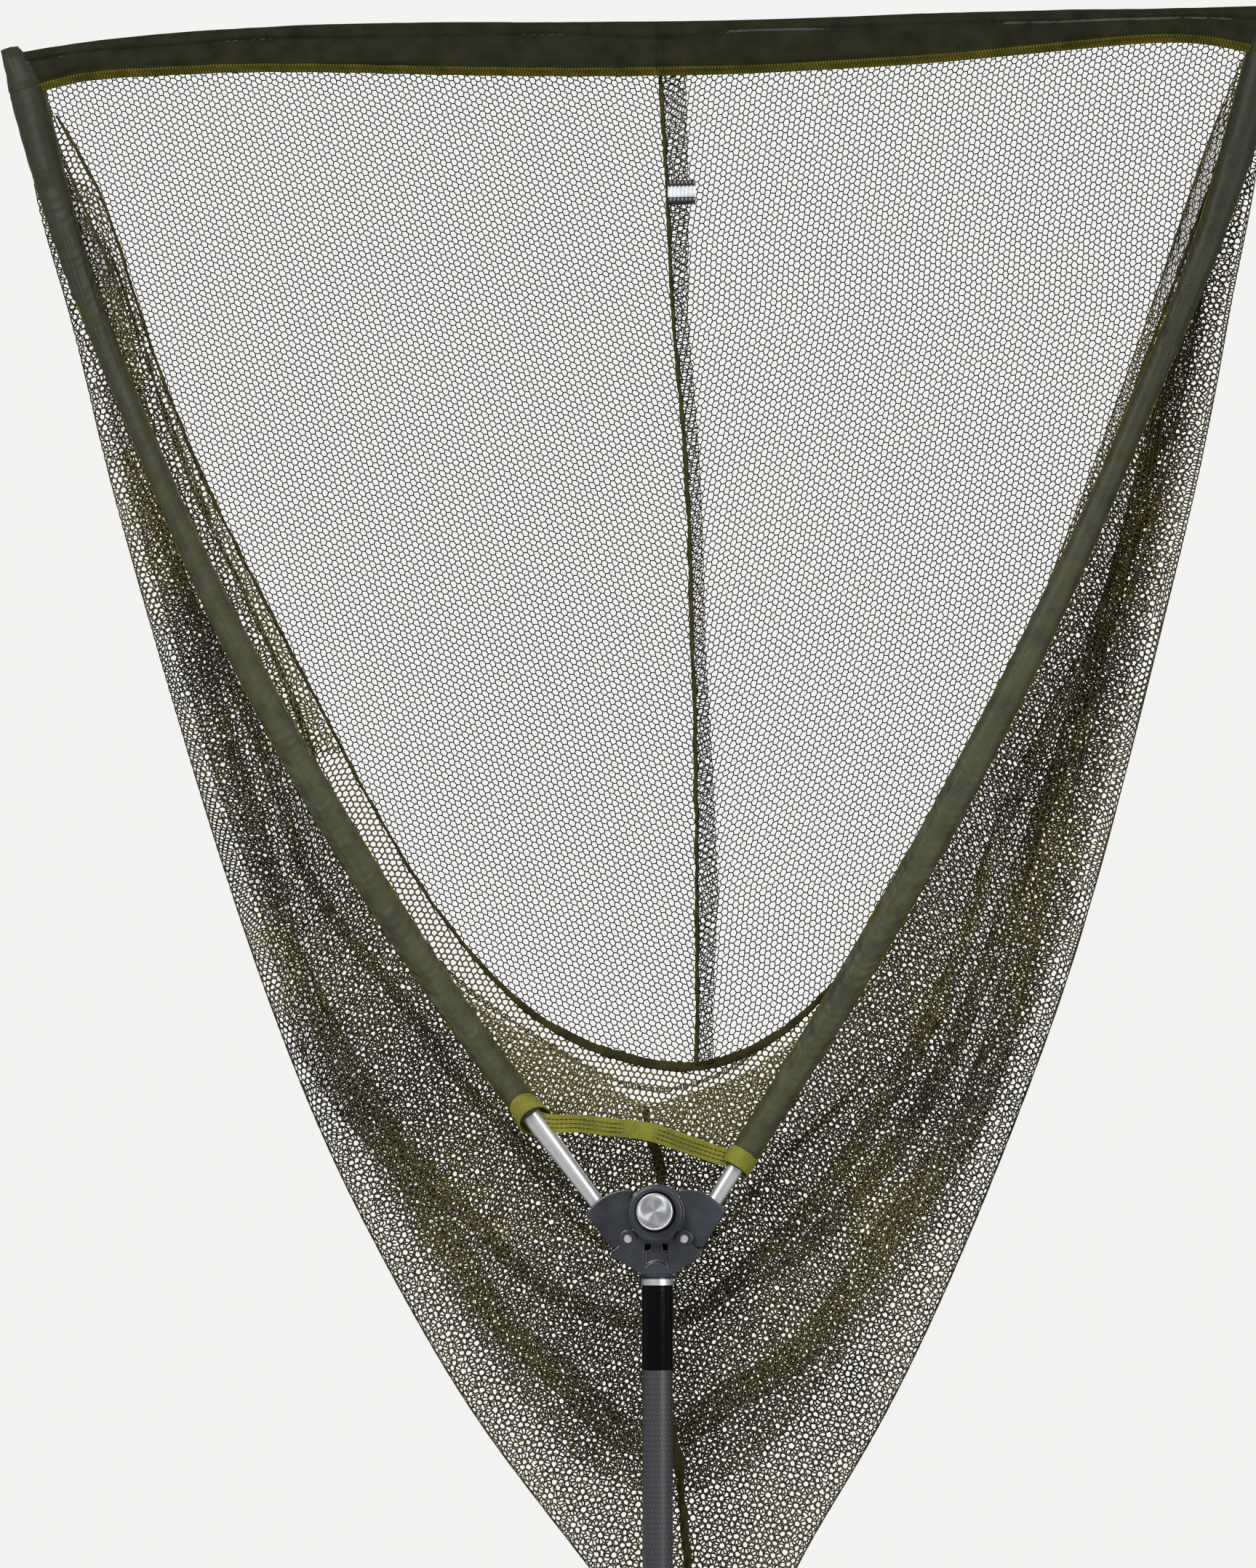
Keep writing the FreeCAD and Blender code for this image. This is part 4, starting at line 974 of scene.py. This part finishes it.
def top_hem():
    """The flat hem that the mouth cord runs in, with its sewn lower edge."""
    for side, (first, last) in {"left": (-0.562, 0.0), "right": (0.0, 0.532)}.items():
        x = np.linspace(first, last, 300)
        top, foot = HEM_TOP.height(x), HEM_FOOT.height(x)
        path = world_points(np.stack([x, (top + foot) / 2], 1), 0.0006 * np.sin(x * 17))
        wide = (top - foot) / 2

        def relief(distance, angle, first=first):
            along, up = distance + first, np.cos(angle) * 0.022
            crease = ripple(along * 0.10 + up * 0.5, up - along * 0.07, 0.009)
            fine = ripple(along * 0.3, up, 0.004)
            tucks = ripple(along, up * 0.2, 0.012)
            face = np.abs(np.sin(angle)) ** 0.5
            fold = 0.006 + 0.003 * ripple(along, along * 0, 0.09)
            groove = 0.0024 * np.exp(-((up - fold) / 0.0013) ** 2)
            rolled = 0.0011 * ramp(up - fold, 0, 0.005)
            return face * (0.0015 * np.sign(crease) * np.abs(crease) ** 0.7 + 0.0003 * fine + 0.0004 * tucks
                           + rolled - groove)
        piece = sweep(side + "_hem_cloth", path, [0, 0, 1], wide, 0.0034, "hem_cloth", 96, 0.6, relief=relief)
        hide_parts("top_hem")
        follow_arm(piece)

        # Overlock along the lower edge: a close zigzag over a thin olive binding.
        edge = world_points(np.stack([x, foot + 0.0018], 1), -0.0022)
        edge[:, 1] -= 0.0012
        binding = sweep(side + "_hem_binding", edge, [0, 0, 1], 0.0038, 0.0016, "overlock", 24, 0.7,
                        relief=lambda d, a: 0.0002 * np.sin(2 * math.pi * d / 0.0018 + 2 * np.cos(a)))
        run = np.arange(first, last, 0.0013)
        swing = np.where(np.arange(len(run)) % 2 == 0, -0.0032, 0.0032)
        zigzag = world_points(np.stack([run, HEM_FOOT.height(run) + 0.0018 + swing], 1), -0.0052)
        thread = sweep(side + "_hem_stitching", zigzag, [1, 0, 0], 0.0004, 0.0005, "overlock", 6)
        for part in (binding, thread):
            follow_arm(part)

        cord = world_points(np.stack([x, top - 0.010], 1), 0.0)
        inner = sweep(side + "_mouth_line", cord, [0, 0, 1], 0.0022, 0.0022, "cord", 12,
                      relief=lambda d, a: 0.0002 * np.cos(3 * a + 2 * math.pi * d / 0.008))
        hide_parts("mouth_cord")
        follow_arm(inner)


def corner_cloth(side, sign):
    """The sleeve's closed top end: flat and wide, and drawn to a point on its outer side."""
    line = ARM[side]
    first = line.length - POCKET_BACK - 0.012
    path, across, at = flat_path(line, first, line.length - 0.022, 0.001, 0.0)
    hung_outwards(path, side)
    turn = line.along([line.length])[0]
    start = path[-1]
    count = 60
    rise = np.linspace(0, 1, count + 1)[1:, None]
    half_width = sleeve_half(start[2] - BOLT_Z) + 0.0004
    tip = start + np.array([turn[0] * 0.9, 0, turn[1] * 0.98]) * 0.0385 * rise
    narrow = 1 - np.clip((rise - 0.10) / 0.90, 0, 1) ** 1.4 * 0.5
    tip += np.array([sign, 0, 0]) * half_width * (1 - narrow) * 0.9
    path = np.concatenate([path, tip])
    across = np.concatenate([across, np.repeat(across[-1:], count, 0)])
    wide = sleeve_half(path[:, 2] - BOLT_Z) - 0.0022 * (1 - ramp(np.arange(len(path)), 50, 66))
    wide[-count:] = half_width * narrow[:, 0]
    along = np.linspace(0, 1, len(path))
    deep = np.interp(along, [0, 0.4, 0.55, 0.85, 1], [0.0085, 0.0088, 0.0105, 0.009, 0.003])

    def relief(distance, angle):
        gather = ripple(distance, angle * 0.012, 0.009)
        long = ripple(distance * 0.2 + 0.003 * angle, angle * 0.014, 0.005)
        edge = 0.0006 * np.abs(np.cos(angle)) ** 20
        return 0.0007 * gather + 0.0008 * long + edge
    piece = sweep(side + "_corner_cloth", path, across, wide, deep, "sleeve_cloth", 72, wall=CLOTH,
                  relief=relief)
    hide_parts(side + "_corner_pocket")
    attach(piece, side + "_arm")


def seam_pieces():
    """The drawn-up seams of the base and the bag."""
    base_middle = BASE_SEAM.marks[9] - 0.003
    spans = {"left": (0.01, base_middle), "right": (base_middle, BASE_SEAM.length - 0.01)}
    for side, (first, last) in spans.items():
        seam = rope(side + "_base_seam_roll", BASE_SEAM, first, last, lambda z: panel_depth(z) - 0.001,
                    0.0014, 0.007, rough=0.3, bunch=[(0.140, 0.075, 2.0)])
        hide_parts(side + "_base_seam")
        follow_arm(seam)
    middle = rope("centre_seam_roll", CENTRE_SEAM, 0.0, CENTRE_SEAM.length, lambda z: panel_depth(z) - 0.002,
                  0.0018, 0.009)
    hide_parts("centre_seam")
    down = Line([(-0.013, 0.112), (-0.009, 0.087), (-0.001, 0.063), (0.002, 0.030), (0.002, -0.03),
                 (0.003, -0.09), (0.008, -0.153), (0.015, -0.189), (0.018, -0.220), (0.023, -0.278),
                 (0.026, -0.350)])
    bag = rope("bag_seam_roll", down, 0.0, down.length, 0.041, 0.0027, 0.016, rough=0.3,
               bunch=[(0.066, 0.022, 0.7), (-0.186, 0.012, 0.9)])
    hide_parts("pouch_seam")
    for seam in (middle, bag):
        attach(seam, "handle")


# ---------------------------------------------------------------- hard parts

def softened(name, node, passes, body="handle"):
    """A moulded copy of a CAD node with rounded edges."""
    piece = added(name, frame["nodes"][node].data.copy())
    remesh = piece.modifiers.new("remesh", "REMESH")
    remesh.mode, remesh.voxel_size, remesh.use_smooth_shade = "VOXEL", 0.7 * MM, True
    smooth = piece.modifiers.new("smooth", "SMOOTH")
    smooth.factor, smooth.iterations = 0.5, passes
    applied = bpy.data.meshes.new_from_object(piece.evaluated_get(bpy.context.evaluated_depsgraph_get()))
    piece.modifiers.clear()
    piece.data = applied
    piece.data.materials.clear()
    piece.data.materials.append(FINISH["moulding"])
    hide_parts(node)
    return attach(piece, body)


def button_face():
    """The knob's turned steel disc, brushed round its own middle, with a fine rim and no marking."""
    low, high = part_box("button_disc")
    centre, radius = (low + high) / 2, (high.x - low.x) / 2
    # Rings of the face, out from its middle: share of the radius, and how deep it lies.
    rings = [(0.0, 0.0004), (0.3, 0.0004), (0.6, 0.0002), (0.86, 0.0), (0.90, 0.00025), (0.93, 0.00025),
             (0.955, 0.0), (0.985, 0.00015), (1.0, 0.0006)]
    count = 96
    angle = np.linspace(0, 2 * math.pi, count, endpoint=False)
    points = []
    for share, sink in rings + [(1.0, high.y - low.y)]:
        reach = max(share, 0.004) * radius
        points.append(np.stack([reach * np.cos(angle), np.full(count, sink), reach * np.sin(angle)], 1))
    faces = grid_faces(len(points), count, round_columns=True)
    cap = end_cap(count)
    faces = np.concatenate([faces[:, ::-1], cap, cap[:, ::-1] + (len(points) - 1) * count])
    look = Look("turned_steel", (226, 226, 226), 0.26, Metallic=1.0, Anisotropic=0.85)
    round_y = look.add("ShaderNodeTangent", {"direction_type": "RADIAL", "axis": "Y"})
    look.set(look.shader, Tangent=round_y.outputs[0])
    reach = look.add("ShaderNodeVectorMath", {"operation": "LENGTH"}, _0=look.place).outputs["Value"]
    turned = look.add("ShaderNodeTexNoise", {"noise_dimensions": "1D"}, W=reach, Scale=9000,
                      Detail=2).outputs["Fac"]
    look.colour(turned, (188, 188, 188), (240, 240, 240)).rough(turned, 0.2, 0.34).bump(turned, 0.00001)
    piece = mesh_piece("button_face", np.concatenate(points), faces, look.material)
    piece.location = (centre.x, low.y, centre.z)
    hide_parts("button_disc")
    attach(piece, "button")


def hard_parts():
    softened("spreader_shell", "spreader_core", passes=6)
    softened("rear_cover_shell", "rear_cover", passes=4)
    for side in SIDES:
        softened(side + "_wing_shell", side + "_wing", passes=6, body=side + "_arm")
    button_face()


def seam_clip():
    """The small ribbed clip on the middle seam: a clear body between two black bars."""
    low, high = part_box("seam_clip")
    centre, size = (low + high) / 2, high - low
    for name, shift, finish in (
            ("clip_upper_bar", 0.36, "black_plastic"), ("clip_body", 0.0, "clear_plastic"),
            ("clip_lower_bar", -0.36, "black_plastic")):
        deep = size.y / 2 * (1.0 if shift else 0.8)
        tall = size.z * (0.13 if shift else 0.27)
        x = np.linspace(low.x + 0.0005, high.x - 0.0005, 120)
        path = np.stack([x, np.full(120, centre.y), np.full(120, centre.z + shift * size.z)], 1)
        piece = sweep(name, path, [0, 0, 1], tall, deep, finish, 32, 0.5,
                      relief=lambda d, a, ribbed=not shift: (0.0007 if ribbed else 0.0001)
                      * np.cos(2 * math.pi * d / 0.0034))
        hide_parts("seam_clip")
        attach(piece, "handle")


for side, sign in SIDES.items():
    arm_sleeve(side)
    strap_loop(side, 1.0 if side == "left" else 0.1)
    corner_cloth(side, sign)
cross_strap()
top_hem()
seam_pieces()
hard_parts()
seam_clip()


# ---------------------------------------------------------------- view

def camera():
    lens = bpy.data.cameras.new("camera")
    lens.sensor_fit, lens.angle = "VERTICAL", math.radians(25.1)
    lens.clip_start = 0.05
    spot = added("camera", lens)
    aim, distance = Vector((-0.0247, 0, 2.2221)), 3.0
    round_angle, rise = math.radians(4.5), math.radians(-7)
    away = Vector((math.sin(round_angle) * math.cos(rise), -math.cos(round_angle) * math.cos(rise),
                   math.sin(rise)))
    spot.location = aim + away * distance
    spot.rotation_euler = (-away).to_track_quat("-Z", "Y").to_euler()
    bpy.context.scene.camera = spot


def area_light(name, place, size, watts):
    aim = (0, 0, 2.2)
    lamp = bpy.data.lights.new(name, "AREA")
    lamp.size, lamp.energy = size, watts
    item = added(name, lamp)
    item.location = place
    item.rotation_euler = (Vector(aim) - Vector(place)).to_track_quat("-Z", "Y").to_euler()


def studio():
    floor_size, count = 6.0, 25
    line = np.linspace(-floor_size, floor_size, count)
    x, y = np.meshgrid(line, line, indexing="ij")
    points = np.stack([x.ravel(), y.ravel(), np.full(x.size, -0.002)], 1)
    pale = Look("pale_floor", (236, 236, 236), 0.8)
    pale.colour(pale.noise(2), (232, 232, 232), (240, 240, 240))
    floor = mesh_piece("floor", points, grid_faces(count, count)[:, ::-1], pale.material)
    world = bpy.data.worlds.new("studio")
    world.use_nodes = True
    nodes, links = world.node_tree.nodes, world.node_tree.links
    seen, ambient = nodes["Background"], nodes.new("ShaderNodeBackground")
    seen.inputs["Color"].default_value = srgb(243, 243, 242)
    ambient.inputs["Color"].default_value = srgb(150, 152, 156)
    mix = nodes.new("ShaderNodeMixShader")
    links.new(nodes.new("ShaderNodeLightPath").outputs["Is Camera Ray"], mix.inputs[0])
    links.new(ambient.outputs[0], mix.inputs[1])
    links.new(seen.outputs[0], mix.inputs[2])
    links.new(mix.outputs[0], nodes["World Output"].inputs[0])
    bpy.context.scene.world = world
    area_light("key", (-1.3, -2.4, 3.9), 1.3, 105)
    area_light("fill", (2.2, -2.2, 2.6), 1.6, 50)
    area_light("back", (0.6, 2.6, 3.4), 2.0, 40)
    bpy.context.scene.view_settings.view_transform = "Standard"


def finish_nodes():
    """Every CAD node gets a procedural finish for its material slot."""
    slots = {part["node"]: part["material_slot"] for part in frame["record"]["subparts"]}
    for name, node in frame["nodes"].items():
        finish = FINISH.get(slots.get(name), FINISH["moulding"])
        if not node.data.materials:
            node.data.materials.append(finish)
        for i in range(len(node.data.materials)):
            node.material_slots[i].material = finish


finish_nodes()
camera()
studio()
